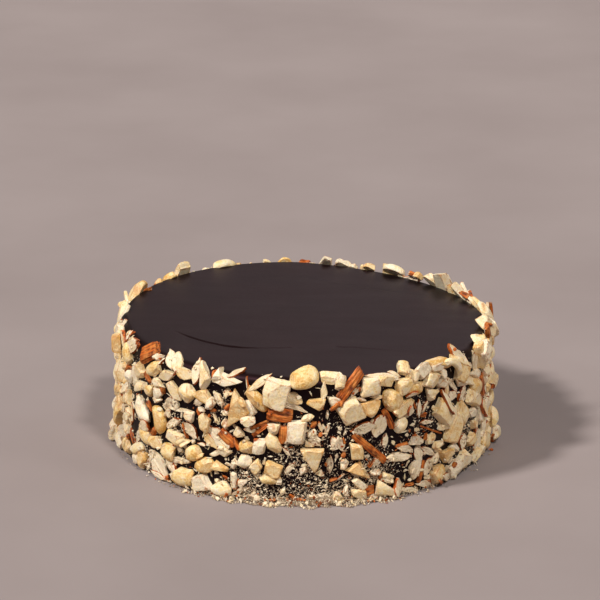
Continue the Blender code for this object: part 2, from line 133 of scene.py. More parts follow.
# Smaller ones that the solid leaves out
LITTLE_NUTS = {
    "shard": """
        -70 12 6.5 4.5 54 s, -69 49 8 3 40 s, -55 51 8.5 3.5 -38 s, -54 36 6.5 3 -47 s,
        -52 24 6.5 3.5 59 s, -50 1 6.5 2 -4 s, -48 48 4 4 90 s, -44 63 6 2.5 -33 s,
        -38 30 9 2 -71 s, -33 43 4.5 2 -72 s, -28 45 3.5 2 -10 s, -28 65 5.5 1.5 90 s,
        -24 11 3.5 1.5 -23 s, -23 1 4 2 61 s, -23 48 5 2.5 43 s, -23 56 4 1.5 17 s, -20 9 5 2 80 s,
        -20 30 7 1.5 -58 s, -13 38 11.5 2.5 41 s, -13 41 11.5 1.5 29 s, -10 47 3 2.5 3 s,
        -9 2 4.5 1.5 15 s, -4 0 4 1.5 -36 s, -3 4 4.5 2 -31 s, -1 3 4 1.5 -5 s, 3 42 4 3 80 s,
        5 37 3.5 2 20 s, 6 2 9 1.5 3 s, 9 13 4.5 2 18 s, 9 52 7 2 50 s, 11 54 4.5 2.5 55 s,
        12 26 3 2 80 s, 12 33 3.5 1.5 -71 s, 20 6 7 5.5 3 s, 21 20 5.5 1.5 46 s, 24 12 4 3 68 s,
        26 42 13.5 3 -63 s, 31 27 8 1.5 4 s, 34 5 6 1.5 0 s, 35 47 5.5 1.5 -59 s, 38 10 13 2.5 77 s,
        39 40 4.5 2.5 -12 s, 40 28 4.5 2.5 70 s, 42 31 17 1 -27 s, 45 0 6.5 2 -41 s,
        52 8 3.5 2 34 s, 64 30 4 2 -17 s, 65 13 3.5 3 0 s, 72 40 14 6 -69 s, 82 68 4.5 2 -64 s,
        86 -4 9.5 2.5 -29 s, 86 1 4.5 4 36 s, 86 44 9 5.5 72 s, 141 68 6 3 20 s, 180 68 7 4 0 s""",
    "slice": """
        -73 14 9 4.5 -54 w, -72 67 7.5 6.5 90 w, -70 38 6.5 6.5 -37 y, -63 48 13.5 5.5 90 w,
        -61 17 10.5 4.5 58 w, -61 35 10 5.5 82 w, -55 5 8.5 4 69 w, -55 26 7 7 -38 y,
        -49 -2 13 3.5 -6 w, -49 62 11 2.5 43 w, -47 2 10.5 2.5 -10 w, -45 42 10 5 57 y,
        -44 10 9 5 -34 y, -43 33 13 4.5 30 y, -42 44 7.5 5.5 -70 w, -41 14 17 3.5 5 y,
        -40 20 6 4.5 -50 y, -40 41 16 2 6 y, -33 48 8 4 43 w, -32 26 5.5 2 1 w,
        -32 44 4.5 3.5 -19 w, -27 23 7.5 3.5 18 y, -27 41 6.5 1.5 -56 c, -21 70 11 3.5 48 y,
        -19 5 11.5 3 27 y, -17 62 7 1 -80 y, -16 38 6.5 4.5 5 y, -5 28 6.5 2 -51 w,
        -4 19 8.5 3 52 y, 5 41 6 2 -66 c, 6 4 11 4 -2 w, 7 39 7 2.5 76 y, 8 21 10 3.5 88 w,
        9 32 7 5 80 w, 11 14 6.5 1.5 33 w, 11 32 8.5 5 -80 w, 15 58 7.5 3 48 y, 22 20 6.5 4.5 46 y,
        22 54 7.5 3 -2 c, 25 31 8 3.5 85 w, 28 67 7 2.5 -39 c, 29 5 10 4.5 84 y, 32 25 10 4 -17 w,
        33 3 11 2.5 -15 w, 33 45 6 4.5 78 y, 33 54 7 2.5 24 w, 34 -2 11 3 -11 w,
        37 20 9.5 5.5 -68 w, 37 44 10 3 88 w, 39 44 7.5 2.5 57 w, 40 36 9 2.5 -4 y, 41 12 10 6 56 y,
        41 20 11 3.5 -34 w, 44 15 6.5 5 62 c, 47 44 16 3.5 -68 w, 48 1 11 4 -32 w,
        48 50 10 4.5 83 g, 51 45 7.5 7 -48 w, 51 51 15.5 3 -48 y, 58 17 9 7.5 73 w,
        61 56 7 6.5 -53 w, 65 56 14.5 5 -73 y, 70 30 11.5 6.5 87 c, 77 24 14 5.5 90 w,
        81 56 13 5.5 90 c, 108 67 8 3 60 c""",
    "chunk": """
        -124 68 7 6 60 g, -100 66 6 5 40 g, -59 45 13 5.5 27 c, -59 53 10.5 8 90 g,
        -58 4 10.5 8 75 g, -54 45 8 7 0 g, -51 19 11.5 6.5 15 g, -50 45 9.5 6.5 60 w,
        -50 66 8 4.5 27 w, -49 42 5.5 3 14 y, -49 51 8.5 6 -13 c, -45 37 5 4 77 y,
        -38 25 8.5 4.5 27 c, -32 20 5 2 27 g, -28 49 7.5 5.5 80 w, -26 52 8.5 3.5 -62 c,
        -24 25 8 5 -28 c, -24 39 7 4 90 w, -24 45 5 3.5 8 w, -23 56 6 4 8 c, -21 10 10 4 -80 w,
        -21 19 5.5 3.5 70 w, -18 10 6 4.5 34 w, -18 53 5.5 3.5 -59 g, -16 43 7.5 5.5 15 c,
        -15 3 5.5 4.5 5 w, -7 12 3.5 3 2 y, -6 7 5 3 85 c, 0 18 4.5 3.5 21 w, 1 46 7 4 29 c,
        2 32 5.5 3.5 -21 c, 3 4 6 3 -1 w, 3 38 4.5 3 80 w, 5 17 4.5 3.5 -2 c, 7 47 5 2 85 w,
        10 65 8.5 4 -71 c, 11 2 7.5 5.5 -24 c, 12 21 6.5 5 60 w, 13 7 6.5 3 75 w, 17 54 6 2.5 -15 y,
        22 1 7 3.5 -17 w, 22 15 6 4 -7 w, 28 45 5.5 3 -70 g, 36 28 9 6.5 -3 y, 39 2 10 4.5 -12 w,
        44 64 10.5 5.5 2 y, 45 19 7.5 3.5 -27 c, 46 54 5.5 6.5 76 y, 46 59 6.5 6.5 68 w,
        47 31 8.5 5 5 c, 53 17 10.5 4.5 -27 w, 53 64 9.5 4 -39 g, 55 50 11.5 4.5 -15 y,
        60 49 13.5 5 -27 c, 63 16 8 8 0 g, 63 30 9.5 6 -18 w, 65 23 8 6.5 -53 c,
        65 50 11.5 5.5 -11 y, 67 0 10 7.5 3 c, 73 0 8.5 7 -54 c, 74 47 8.5 7 -18 c,
        86 4 10 6.5 90 c, 86 34 10.5 6.5 87 c, 139 68 6 5 0 g, 158 67 7 5 0 g""",
    "block": """
        -77 58 10.5 8.5 90 g, -62 3 10 5.5 17 w, 11 65 8 5 75 c, 17 10 9 4 -42 c, 26 11 8 5 -26 c,
        42 26 6 7 90 c, 45 22 7.5 4.5 -13 c""",
    "wedge": "-36 39 6.5 6.5 -78 w, -19 37 6 6 90 c",
    "hook": "50 62 18.5 4 -36 c",
}

# What only the looks have
LITTLE_SEED = 3000
SMALLER_SEED = SEED + 1000
SMALLER_NUTS = 360
SMALLER_SHARES = (0.74, 0.42)  # the first one's and the last one's size beside a full nut
LOOK_TONES = {  # golden, cream, white, grey, and with its brown skin
    "g": (0.04, 0.30), "c": (0.34, 0.54), "w": (0.62, 0.76), "y": (0.88, 1.0), "s": (0.2, 0.5),
}
DRAWN_LOOKS = {"g": 0.48, "c": 0.76, "w": 0.92, "y": 1.0}  # of the rest, each up to a chance
DRAWN_SLICE_LOOKS = {"c": 0.25, "w": 0.75, "y": 1.0}
BARE_SLICES = 0.15  # the share of slices that have no skin left at their edge
SKINNED_CHUNKS = 0.10  # and of chunks and blocks that have some at a corner
SHARP_ANGLE = math.radians(30.0)
LONG_NUT = 13.5 * MM  # from this size on a nut has the finest form, if it faces the front
LONG_SLICE = 16.5 * MM
FRONT_REACH = 66.0
SHORT_NUT = 8.0 * MM  # up to this size it has a coarse one
SHORT_BACK_NUT = 11.0 * MM
SIDE_REACH = 100.0
EDGE_BAND = 0.085  # how far from a break's edge its colour reaches, of the ball a nut is cut from
SHALLOW = 0.74  # a break farther than this from the middle leaves no brown edge
CORNER_BREAKS = {  # further breaks: how many, and how near to and far from the middle
    "chunk": (2, 0.74, 0.90), "block": (2, 0.80, 0.94), "wedge": (2, 0.78, 0.92),
    "dome": (4, 0.76, 0.92), "slice": (2, 0.62, 0.90),
}
LUMP = 0.020  # relief of a nut's surface, as a share of its size
GRAIN = 0.008  # and of its finer unevenness
FINEST_SPACING = 0.07  # between the points of the finest forms, beside a ball of radius 1
WEAR = 0.30  # how far the edges of a break are worn round
GROOVED_SHARE = 0.20  # of the chunks, those with the hollow of the nut's inner side
RAY_START = 0.13  # outside of every nut
CHIP_FORMS = 60
CHIP_HEIGHTS = (1.0, 68.0)
CHIPS = 950
SKIN_CHIPS = 120
FOOT_CHIPS = 120
FOOT_SKIN_CHIPS = 30
CHIP_LENGTHS = (2.2, 6.5)  # in millimetres, before each is made up to 40% shorter
FOOT_CHIP_LENGTHS = (2.0, 6.0)
SKIN_CHIP_LENGTHS = (1.8, 5.0)
SLENDER_CHIPS = 0.55  # the share that are splinters
SLENDER_SKIN_CHIPS = 0.45
SLENDER_FOOT_CHIPS = 0.40
FLESH, SKIN = 0.0, 1.0  # what a face is, as the materials read it
CRUMBS = 3000
SKIN_CRUMBS = 190
FINE_CRUMBS = 5200
FOOT_CRUMBS = 1350
FOOT_SKIN_CRUMBS = 260
FOOT_FINE_CRUMBS = 3800
FOOT_REACH = 0.0050  # about how far beyond the ganache the crumbs at the foot lie
FOOT_RISE = 0.0045  # and how far up its side

# Camera: the photograph's view of the cake
CAMERA_LENS = 183.96
CAMERA_SENSOR = 36.0
CAMERA_DISTANCE = 1.5716
CAMERA_ELEVATION = math.radians(18.55)
CAMERA_ROLL = math.radians(0.60)
CAMERA_TARGET = (-0.00232, 0.0, 0.07444)


# ---------------------------------------------------------------- placing, as in the construction


DOWN = np.array([0, 0, -1.0])


def unit(vector):
    return vector / np.linalg.norm(vector)


def turned(first, second, angle):
    """Two directions, or two coordinates, turned by an angle from the first to the second."""
    cosine, sine = math.cos(angle), math.sin(angle)
    return first * cosine + second * sine, second * cosine - first * sine


def rising(angle, rise):
    """The direction at an angle in the level plane, with a rise."""
    return unit(np.array([math.cos(angle), math.sin(angle), rise]))


def top_relief(x, y):
    """How far the spread top stands above or below level: highest at the back left."""
    across = x / BODY_RADIUS
    back = 0.5 + 0.5 * y / BODY_RADIUS
    swell = 0.35 * MM * np.cos(2.6 * across + 0.8) * np.cos(2.2 * back - 0.4)
    fall = 2.0 * across + 1.2 * np.maximum(across, 0.0) + 0.3
    corner = np.maximum(across, 0.0) * np.maximum(y / BODY_RADIUS, 0.0)
    return swell - MM * (fall * back + 3.4 * corner)


def flat_breaks(kind, rng):
    """The flat faces that cut one nut out of a unit ball: (direction, distance from the middle)."""
    if kind == "slice":
        return [(-DOWN, 0.30), (DOWN, 0.30)]
    if kind == "hook":
        ends = [(unit(np.array([side, 0, rng.uniform(-0.4, 0.4)])), 0.82) for side in (-1, 1)]
        return ends + [(DOWN, 0.60), (unit(np.array([0, 0.3, 0.95])), 0.86)]
    if kind == "dome":
        side = rising(rng.uniform(0, math.tau), rng.uniform(-0.2, 0.3))
        return [(DOWN, 0.40), (side, rng.uniform(0.60, 0.85))]
    return all_round_breaks(kind, rng)


def all_round_breaks(kind, rng):
    """The breaks of a piece that is cut on every side, with one across its outer end."""
    corners, stray, distances = CUTS[kind]
    start = rng.uniform(0, math.tau) if kind == "chunk" else math.pi
    corners = corners or rng.choice((3, 4, 4, 5))
    breaks = [(DOWN, 0.45)]
    for corner in range(corners):
        angle = start + math.tau * corner / corners + rng.uniform(-stray, stray)
        breaks.append((rising(angle, rng.uniform(-0.15, 0.28)), rng.uniform(*distances)))
    lid = np.array([rng.uniform(-0.45, 0.45), rng.uniform(-0.45, 0.45), 1.0])
    breaks.append((unit(lid), rng.uniform(0.55, 0.95)))
    return breaks


def bent(points, radius, side):
    """The points with their length wrapped round a circle that lies to one side of them."""
    angle = points[:, 0] / radius
    across = radius + side * points[:, 1]
    sunk = radius * 0.8
    sideways = side * (across * np.cos(angle) - sunk)
    return np.stack([across * np.sin(angle), sideways, points[:, 2]], 1)


def thickness_of(nut):
    base, share = KINDS[nut[0]][3]
    return min(base * MM + share * min(nut[3], nut[4]), THICKEST)


def away_at(azimuth):
    """The level direction out of the cake: 0 is the front, and it grows to the right."""
    turn = math.radians(azimuth)
    return np.array([math.sin(turn), -math.cos(turn), 0.0])


def side_frame(azimuth, height):
    """A point of the ganache's side, and the directions right, up the side and out of it there."""
    away = away_at(azimuth)
    right = np.array([-away[1], away[0], 0.0])
    up = np.array([0.0, 0.0, 1.0])
    start = BODY_HEIGHT - EDGE_RADIUS
    roll = max(0.0, (height - start) / ROLL_RADIUS)
    out, climb = turned(away, up, roll)
    point = away * (BODY_RADIUS - EDGE_RADIUS) + up * min(height, start) + out * EDGE_RADIUS
    return point, right, climb, out


class Coat:
    """How thick the nuts lie at each place of the side: a grid of rows up it and columns round."""

    def __init__(self):
        self.columns = round(math.tau * (BODY_RADIUS + 0.5 * COAT_DEPTH) / COAT_CELL)
        self.rows = round(COAT_TOP / COAT_CELL)
        self.depth = np.zeros((self.rows, self.columns))

    def footprint(self, nut):
        """The cells under a nut, and where each lies along and across it, in half sizes."""
        _, azimuth, height, length, width, turn, _ = nut
        reach = int(0.5 * max(length, width) / COAT_CELL) + 1
        column = azimuth / 360.0 * self.columns
        row = height / COAT_CELL
        columns = np.arange(math.floor(column) - reach, math.floor(column) + reach + 2)
        lowest, highest = math.floor(row) - reach, math.floor(row) + reach
        rows = np.arange(max(0, lowest), min(self.rows, highest + 2))
        right, climb = np.meshgrid((columns + 0.5 - column), (rows + 0.5 - row))
        along, across = turned(right * COAT_CELL, climb * COAT_CELL, math.radians(turn))
        along, across = along / (0.5 * length), across / (0.5 * width)
        inside = along**2 + across**2 <= 1.0
        cells = np.ix_(rows, columns % self.columns)
        return cells, inside, along, across

    def lack(self, nut):
        """How much thinner the coat is under a nut than a full one."""
        cells, inside, _, _ = self.footprint(nut)
        return COAT_DEPTH - self.depth[cells][inside].mean()

    def settle(self, nut):
        """Lays a nut on what is under it: how far out its middle comes, and how it leans."""
        cells, inside, along, across = self.footprint(nut)
        under = self.depth[cells]
        _, _, _, length, width, _, _ = nut
        thickness = thickness_of(nut)
        level = np.ones(inside.sum())
        steps = np.stack([level, along[inside] * 0.5 * length, across[inside] * 0.5 * width])
        _, rise_along, rise_across = np.linalg.lstsq(steps.T, under[inside], rcond=None)[0]
        rise_along = min(max(0.7 * rise_along, -STEEPEST_LEAN), STEEPEST_LEAN)
        rise_across = min(max(0.7 * rise_across, -STEEPEST_LEAN), STEEPEST_LEAN)
        out = np.percentile(under[inside], 65) + 0.5 * thickness - PRESSED_IN
        slope = rise_along * along * 0.5 * length + rise_across * across * 0.5 * width
        bulge = 0.5 * thickness * np.sqrt(np.clip(1.0 - along**2 - across**2, 0.0, 1.0))
        self.depth[cells] = np.where(inside, np.maximum(under, out + slope + bulge), under)
        return out, rise_along, rise_across


def kept_above_base(nut):
    """The nut with its height raised until its lowest end is clear of the base."""
    kind, azimuth, height, length, width, turn, seed = nut
    angle = math.radians(turn)
    reach = 0.5 * math.hypot(length * math.sin(angle), width * math.cos(angle))
    return kind, azimuth, max(height, reach + BASE_GAP), length, width, turn, seed


def rows_of(table):
    """The kind, the numbers and the look of each nut that a table lists."""
    for kind, rows in table.items():
        for row in rows.split(","):
            *numbers, look = row.split()
            yield kind, [float(number) for number in numbers], look


def listed_nuts(table, seed):
    for kind, (azimuth, height, length, width, turn), _ in rows_of(table):
        seed += 1
        yield kind, azimuth, height * MM, length * MM, width * MM, turn, seed


def looks_listed():
    """The look of every listed nut, by its seed."""
    looks = {}
    for table, seed in ((LEADING_NUTS, SEED), (LITTLE_NUTS, LITTLE_SEED)):
        looks.update((seed + index, row[2]) for index, row in enumerate(rows_of(table), 1))
    return looks


def drawn_kind(rng):
    chance = rng.random()
    for kind, (share, _, _, _) in KINDS.items():
        chance -= share
        if chance < 0:
            return kind
    return "chunk"


def drawn_nut(rng, size, seed):
    """A nut of a random kind and turn, its length and width scaled by size, at no place yet."""
    kind = drawn_kind(rng)
    _, lengths, widths, _ = KINDS[kind]
    length = rng.uniform(*lengths) * MM * size
    width = min(rng.uniform(*widths) * MM * size, 0.9 * length)
    return kind, 0.0, 0.0, length, width, rng.uniform(-90, 90), seed


def moved(nut, azimuth, height, turn):
    kind, _, _, length, width, _, seed = nut
    return kept_above_base((kind, azimuth, height, length, width, turn, seed))


def rim_nut(coat, rng, index, seed):
    """A nut that rises over the top edge, or None where the edge is covered already."""
    azimuth = 360.0 * (index + rng.uniform(-0.3, 0.3)) / RIM_PLACES - 180.0
    height = BODY_HEIGHT + rng.uniform(-9.0, -2.0) * MM
    nut = moved(drawn_nut(rng, RIM_SHARE, seed), azimuth, height, rng.uniform(20, 160))
    open_place = abs(azimuth) > LEADING_REACH and coat.lack(nut) > 0.45 * COAT_DEPTH
    return nut if open_place else None


def side_nut(coat, rng, size, seed):
    """A nut at whichever of a few random places of the sides and back lacks most of its coat."""
    nut = drawn_nut(rng, size, seed)
    most = -math.inf
    for _ in range(PLACES_TRIED):
        azimuth = 180.0 + rng.uniform(-1, 1) * (180.0 - LEADING_REACH)
        height = rng.uniform(0.0, BODY_HEIGHT - 0.002)
        tried = moved(nut, azimuth, height, rng.uniform(-90, 90))
        lack = coat.lack(tried) * rng.uniform(0.75, 1.0)
        if lack > most:
            best, most = tried, lack
    return best


def laid_nuts(smaller):
    """The solid's nuts, then the smaller ones between them, each with how it has settled."""
    coat = Coat()
    rng = random.Random(SEED)
    laid = []

    def lay(nut):
        laid.append((nut, coat.settle(nut)))

    for nut in listed_nuts(LEADING_NUTS, SEED):
        lay(kept_above_base(nut))
    for index in range(RIM_PLACES):
        nut = rim_nut(coat, rng, index, RIM_SEED + index)
        if nut:
            lay(nut)
    first = len(laid)
    for index in range(first, NUT_COUNT):
        size = 1.0 - (1.0 - SMALLEST_SHARE) * (index - first) / (NUT_COUNT - first)
        lay(side_nut(coat, rng, size, RULE_SEED + index))
    for nut in listed_nuts(LITTLE_NUTS, LITTLE_SEED):
        lay(kept_above_base(nut))
    most, least = SMALLER_SHARES
    for index in range(smaller):
        size = most + (least - most) * index / smaller
        lay(side_nut(coat, rng, size, SMALLER_SEED + index))
    return laid


def placed(points, nut, settled):
    """A nut's points moved from its own middle to its place on the side."""
    out_by, rise_along, rise_across = settled
    origin, right, climb, out = side_frame(nut[1], nut[2])
    along, across = turned(right, climb, math.radians(nut[5]))
    lengthways = unit(along + rise_along * out)
    outward = unit(out - rise_along * along - rise_across * across)
    sideways = np.cross(outward, lengthways)
    world = origin + out * out_by + points @ np.array([lengthways, sideways, outward])
    return raised(world, BASE_GAP)


def raised(points, gap):
    """The points raised, where they have to be, to clear the floor by a gap."""
    points[:, 2] += max(0.0, gap - points[:, 2].min())
    return points


# ---------------------------------------------------------------- fine forms


def ball(subdivisions):
    """Points and triangles of a unit ball to cut nuts from, and how far apart the points are."""
    shell = bmesh.new()
    bmesh.ops.create_icosphere(shell, subdivisions=subdivisions, radius=1.0)
    points = np.array([vertex.co.normalized() for vertex in shell.verts])
    faces = np.array([[vertex.index for vertex in face.verts] for face in shell.faces])
    shell.free()
    return points, faces, math.sqrt(2.0 * math.tau / len(points))


def cut_form(template, breaks):
    """A ball cut by flat breaks: points, triangles, and how broken and near an edge a point is."""
    directions, faces, spacing = template
    normals = np.array([normal for normal, _ in breaks])
    distances = np.array([distance for _, distance in breaks])
    reach = directions @ normals.T / distances
    own, most = reach.argmax(axis=1), reach.max(axis=1)
    broken = most > 1.0
    points = directions / np.maximum(most, 1.0)[:, None]
    points[broken] = drawn_to_edges(points[broken], own[broken], normals, distances, 0.6 * spacing)
    gaps = distances - points @ normals.T
    gaps[np.ix_(~broken, distances > SHALLOW)] = 1.0
    to_ball = 1.0 - np.linalg.norm(points[broken], axis=1)
    gaps[broken, own[broken]] = np.where(distances[own[broken]] > SHALLOW, 1.0, to_ball)
    edge = np.clip(1.0 - np.abs(gaps).min(axis=1) / EDGE_BAND, 0.0, 1.0)
    return points, faces, broken.astype(float), edge


def within(vectors, normals):
    """What the vectors have in the planes that stand on the normals."""
    return vectors - (vectors * normals).sum(axis=1)[:, None] * normals


def lengths_of(vectors):
    """Their lengths, never quite 0, to divide by."""
    return np.maximum(np.linalg.norm(vectors, axis=1), 1e-9)


def drawn_to_edges(points, own, normals, distances, near):
    """The points of the breaks, each moved within its own one to an edge that is near."""
    rows = np.arange(len(points))
    gaps = distances - points @ normals.T
    gaps[rows, own] = np.inf
    other = gaps.argmin(axis=1)
    inwards = within(normals[other], normals[own])
    steep = lengths_of(inwards)
    step = gaps[rows, other] / steep
    crossing = (step < near) & (own < other)
    moved_points = points + inwards / steep[:, None] * np.where(crossing, step, 0.0)[:, None]
    level = within(points, normals[own])
    radius = lengths_of(level)
    left = np.sqrt(np.maximum(1.0 - distances[own] ** 2, 0.0)) - radius
    rounding = (left > 0) & (left < near) & ~crossing & (step > near)
    return moved_points + level / radius[:, None] * np.where(rounding, left, 0.0)[:, None]


def worn(points, faces, share):
    """The points drawn towards the middle of their neighbours, each by its share."""
    sums = np.zeros_like(points)
    for here, there in ((0, 1), (1, 2), (2, 0)):
        for axis in range(3):
            sums[:, axis] += np.bincount(faces[:, here], points[faces[:, there], axis], len(points))
    met = np.maximum(np.bincount(faces.ravel(), minlength=len(points)), 1)
    return points + share * (sums / met[:, None] - points)


def directions_of_waves(count, seed):
    draws = np.random.RandomState(seed)
    towards = draws.normal(size=(count, 3))
    return towards / lengths_of(towards)[:, None]


WAVES = directions_of_waves(10, 5)


def ripple(points, wavelength, seed):
    """Smooth noise of about -1 to 1: waves that run in many directions."""
    draws = np.random.RandomState(seed)
    lengths = wavelength * draws.uniform(0.7, 1.5, len(WAVES))
    phases = draws.uniform(0, math.tau, len(WAVES))
    angles = points @ (WAVES / lengths[:, None]).T * math.tau + phases
    return np.sin(angles).sum(axis=1) / math.sqrt(len(WAVES))


def skin_of(kind, middles, normals, rng):
    """Which faces of a nut still have its brown skin, on points about 1 across."""
    if kind == "shard":
        return (normals[:, 2] > -0.2).astype(float)
    if kind == "slice":
        side = 1 if rng.random() < 0.5 else -1
        if rng.random() < BARE_SLICES:
            return np.zeros(len(middles))
        least = rng.choice((-0.10, 0.05, -1.0))
        return ((np.abs(normals[:, 2]) < 0.7) & (side * middles[:, 1] > least)).astype(float)
    if kind in ("chunk", "block") and rng.random() < SKINNED_CHUNKS:
        corner, _ = turned(middles[:, 0], middles[:, 1], rng.uniform(0, math.tau))
        return (corner > 0.40).astype(float)
    return np.zeros(len(middles))


def ridges_of(points, seed):
    """The ridges along a piece of almond skin: from -1 in a furrow to 1 on a ridge."""
    draws = random.Random(seed + 2)
    around = np.arctan2(points[:, 2], points[:, 1])
    wander = 0.5 * np.sin(5.0 * points[:, 0] + draws.uniform(0, math.tau))
    return np.sin(draws.choice((9, 10, 11)) * around + wander + draws.uniform(0, math.tau))


def pinch_of(across, seed):
    """How far a slice narrows to its ends, on its one side and on its other."""
    rng = random.Random(seed)
    one, other = rng.uniform(1.6, 3.4), rng.uniform(0.2, 2.4)
    return np.where(across > 0, one, other)


def drawn_look(kind, rng):
    """The look of a nut that isn't listed."""
    chance = rng.random()
    looks = DRAWN_SLICE_LOOKS if kind == "slice" else DRAWN_LOOKS
    return next(look for look, most in looks.items() if chance < most)


def small_breaks(kind, size, seed):
    """Further breaks, which take off a large nut's corners only, but give a small one its form."""
    draws = random.Random(seed + 7000)
    count, nearest, farthest = CORNER_BREAKS.get(kind, (0, 0.9, 0.9))
    if size < SHORT_NUT and kind != "hook":
        count, nearest = count + 3, 0.5 if kind != "slice" else 0.36
        farthest = 0.8
    steepest = 0.0 if kind == "slice" else 1.2
    breaks = []
    for _ in range(count):
        side = rising(draws.uniform(0, math.tau), draws.uniform(-0.2, 1.0) * steepest)
        breaks.append((side, draws.uniform(nearest, farthest)))
    return breaks


def fine_nut(template, nut, look):
    """A nut's points about its own middle, its triangles, and its looks."""
    kind, _, _, length, width, _, seed = nut
    rng, looks_rng = random.Random(seed), random.Random(seed + 5000)
    breaks = flat_breaks(kind, rng) + small_breaks(kind, max(length, width), seed)
    points, faces, broken, edge = cut_form(template, breaks)
    fineness = min(1.0, FINEST_SPACING / template[2])
    points = worn(points, faces, WEAR * fineness * edge[:, None])
    low, high = points.min(axis=0), points.max(axis=0)
    points = (points - (low + high) / 2) / (high - low)
    side = 1 if kind == "hook" and rng.random() < 0.5 else -1
    corners = points[faces]
    normals = np.cross(corners[:, 1] - corners[:, 0], corners[:, 2] - corners[:, 0])
    normals /= lengths_of(normals)[:, None]
    skin = skin_of(kind, corners.mean(axis=1), normals, looks_rng)
    grain = fineness * GRAIN * (0.5 + broken) * ripple(points, 0.15, seed + 1)
    lump = LUMP * (0.4 if kind == "slice" else 1.0)
    points *= (1.0 + lump * ripple(points, 0.5, seed) + grain)[:, None]
    if kind == "slice":
        points = torn_slice(points, seed)
    if kind == "shard":
        points[:, 1:] *= (1.0 + 0.10 * ridges_of(points, seed))[:, None]
    if kind in ("chunk", "block") and looks_rng.random() < GROOVED_SHARE:
        _, off = turned(points[:, 0], points[:, 1], looks_rng.uniform(0, math.pi))
        hollow = np.exp(-(((off + looks_rng.uniform(-0.12, 0.12)) / 0.14) ** 2))
        points[:, 2] -= 0.22 * hollow * (points[:, 2] > 0)
    if kind == "dome":
        points[:, 1] *= 1.0 + 0.35 * points[:, 0]
    points *= np.array([length, width, thickness_of(nut)])
    if kind == "hook":
        points = bent(points, 0.42 * length, side)
    looks = np.stack([np.full(len(faces), looks_rng.uniform(*LOOK_TONES[look])), skin], axis=1)
    return points, faces, looks, np.stack([broken, edge], axis=1)


def torn_slice(points, seed):
    """A slice's points with its jagged outline, its narrow ends and the fibres along it."""
    flat = points * np.array([1.0, 1.0, 0.0])
    points[:, :2] *= (1.0 + 0.045 * ripple(flat, 0.20, seed + 3))[:, None]
    points[:, 2] += 0.05 * ripple(flat * np.array([0.16, 1.0, 0.0]), 0.10, seed + 4)
    points[:, 2] += 0.22 * ripple(flat, 1.5, seed + 5)
    points[:, 1] *= 1.0 - pinch_of(points[:, 1], seed) * points[:, 0] ** 2
    return points


class Heap:
    """Many small forms gathered into one mesh, with what its material reads at a face or point."""

    def __init__(self):
        self.parts = []
        self.size = 0

    def add(self, points, faces, looks, breaks, local):
        """Looks are each face's tone and skin, breaks how broken and near an edge a point is."""
        self.parts.append((points, faces + self.size, looks, breaks, local))
        self.size += len(points)

    def joined(self):
        return [np.concatenate(arrays) for arrays in zip(*self.parts)]

    def form(self):
        return self.joined()[:2]

    def piece(self, name, material, slot, sharp=SHARP_ANGLE):
        points, faces, looks, breaks, local = self.joined()
        mesh = smooth_mesh(name, points, faces)
        mesh.set_sharp_from_angle(angle=sharp)
        for layer_name, domain, values in (
            ("tone", "FACE", looks[:, 0]), ("skin", "FACE", looks[:, 1]),
            ("broken", "POINT", breaks[:, 0]), ("edge", "POINT", breaks[:, 1]),
        ):
            layer = mesh.attributes.new(layer_name, "FLOAT", domain)
            layer.data.foreach_set("value", np.ascontiguousarray(values))
        layer = mesh.attributes.new("local", "FLOAT_VECTOR", "POINT")
        layer.data.foreach_set("vector", local.ravel())
        belongs(mesh, material)


def smooth_mesh(name, points, faces):
    mesh = bpy.data.meshes.new(name)
    mesh.from_pydata(points, [], faces)
    mesh.polygons.foreach_set("use_smooth", np.ones(len(mesh.polygons), bool))
    return mesh


def belongs(mesh, material):
    """Makes a mesh a piece of the cake, with its own name."""
    mesh.materials.append(material)
    thing = bpy.data.objects.new(mesh.name, mesh)
    bpy.context.scene.collection.objects.link(thing)
    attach(thing, "root")
    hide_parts(NODE)


def heaps_of_nuts():
    """One heap for each kind of nut."""
    heaps = {kind: Heap() for kind in KINDS}
    finest, fine, coarse = ball(5), ball(4), ball(3)
    looks_of = looks_listed()
    for index, (nut, settled) in enumerate(laid_nuts(SMALLER_NUTS)):
        kind, size, seed = nut[0], max(nut[3], nut[4]), nut[6]
        aside = abs((nut[1] + 180.0) % 360.0 - 180.0)
        coarse_to = SHORT_NUT if aside < SIDE_REACH else SHORT_BACK_NUT
        finest_from = LONG_SLICE if kind == "slice" else LONG_NUT
        template = fine if size > coarse_to else coarse
        if aside < FRONT_REACH and size > finest_from:
            template = finest
        look = looks_of.get(seed) or drawn_look(kind, random.Random(seed + 9000))
        points, faces, looks, breaks = fine_nut(template, nut, look)
        heaps[kind].add(placed(points, nut, settled), faces, looks, breaks, points + 0.05 * index)
    return heaps


# ---------------------------------------------------------------- ganache

CREASE_POINTS = (
    (-63.3, -30.3), (-54.3, -38.4), (-45.5, -45.7), (-37.9, -49.6), (-27.0, -50.6), (-2.1, -49.3),
    (17.9, -47.4), (37.8, -49.1), (57.7, -51.0),
)  # the spatula's crease on the top: x and y in millimetres
CREASE_SPAN = 60.0
CREASE_BAND = (49.0 * MM, 72.0 * MM)
# Its two parts from left to right, in millimetres: start, rise, end and fade
CREASE_STRONG = (-66.0, 8.0, -22.0, 14.0)
CREASE_FAINT = (-45.0, 20.0, 60.0, 25.0)
CREASE_DROPS = (0.40, 0.20)  # the step down in front of each, in millimetres
CREASE_GROOVES = (0.42, 0.16)  # and the groove along it
LIP = (-6.0, 10.0, 56.0, 20.0)  # the same for the step towards the back
LIP_DROP = 0.22
RING_STEP = 2.0 * MM
FINE_RING_STEP = 0.40 * MM
SPIN = 360
EDGE_RINGS = 8
SIDE_RINGS = 18


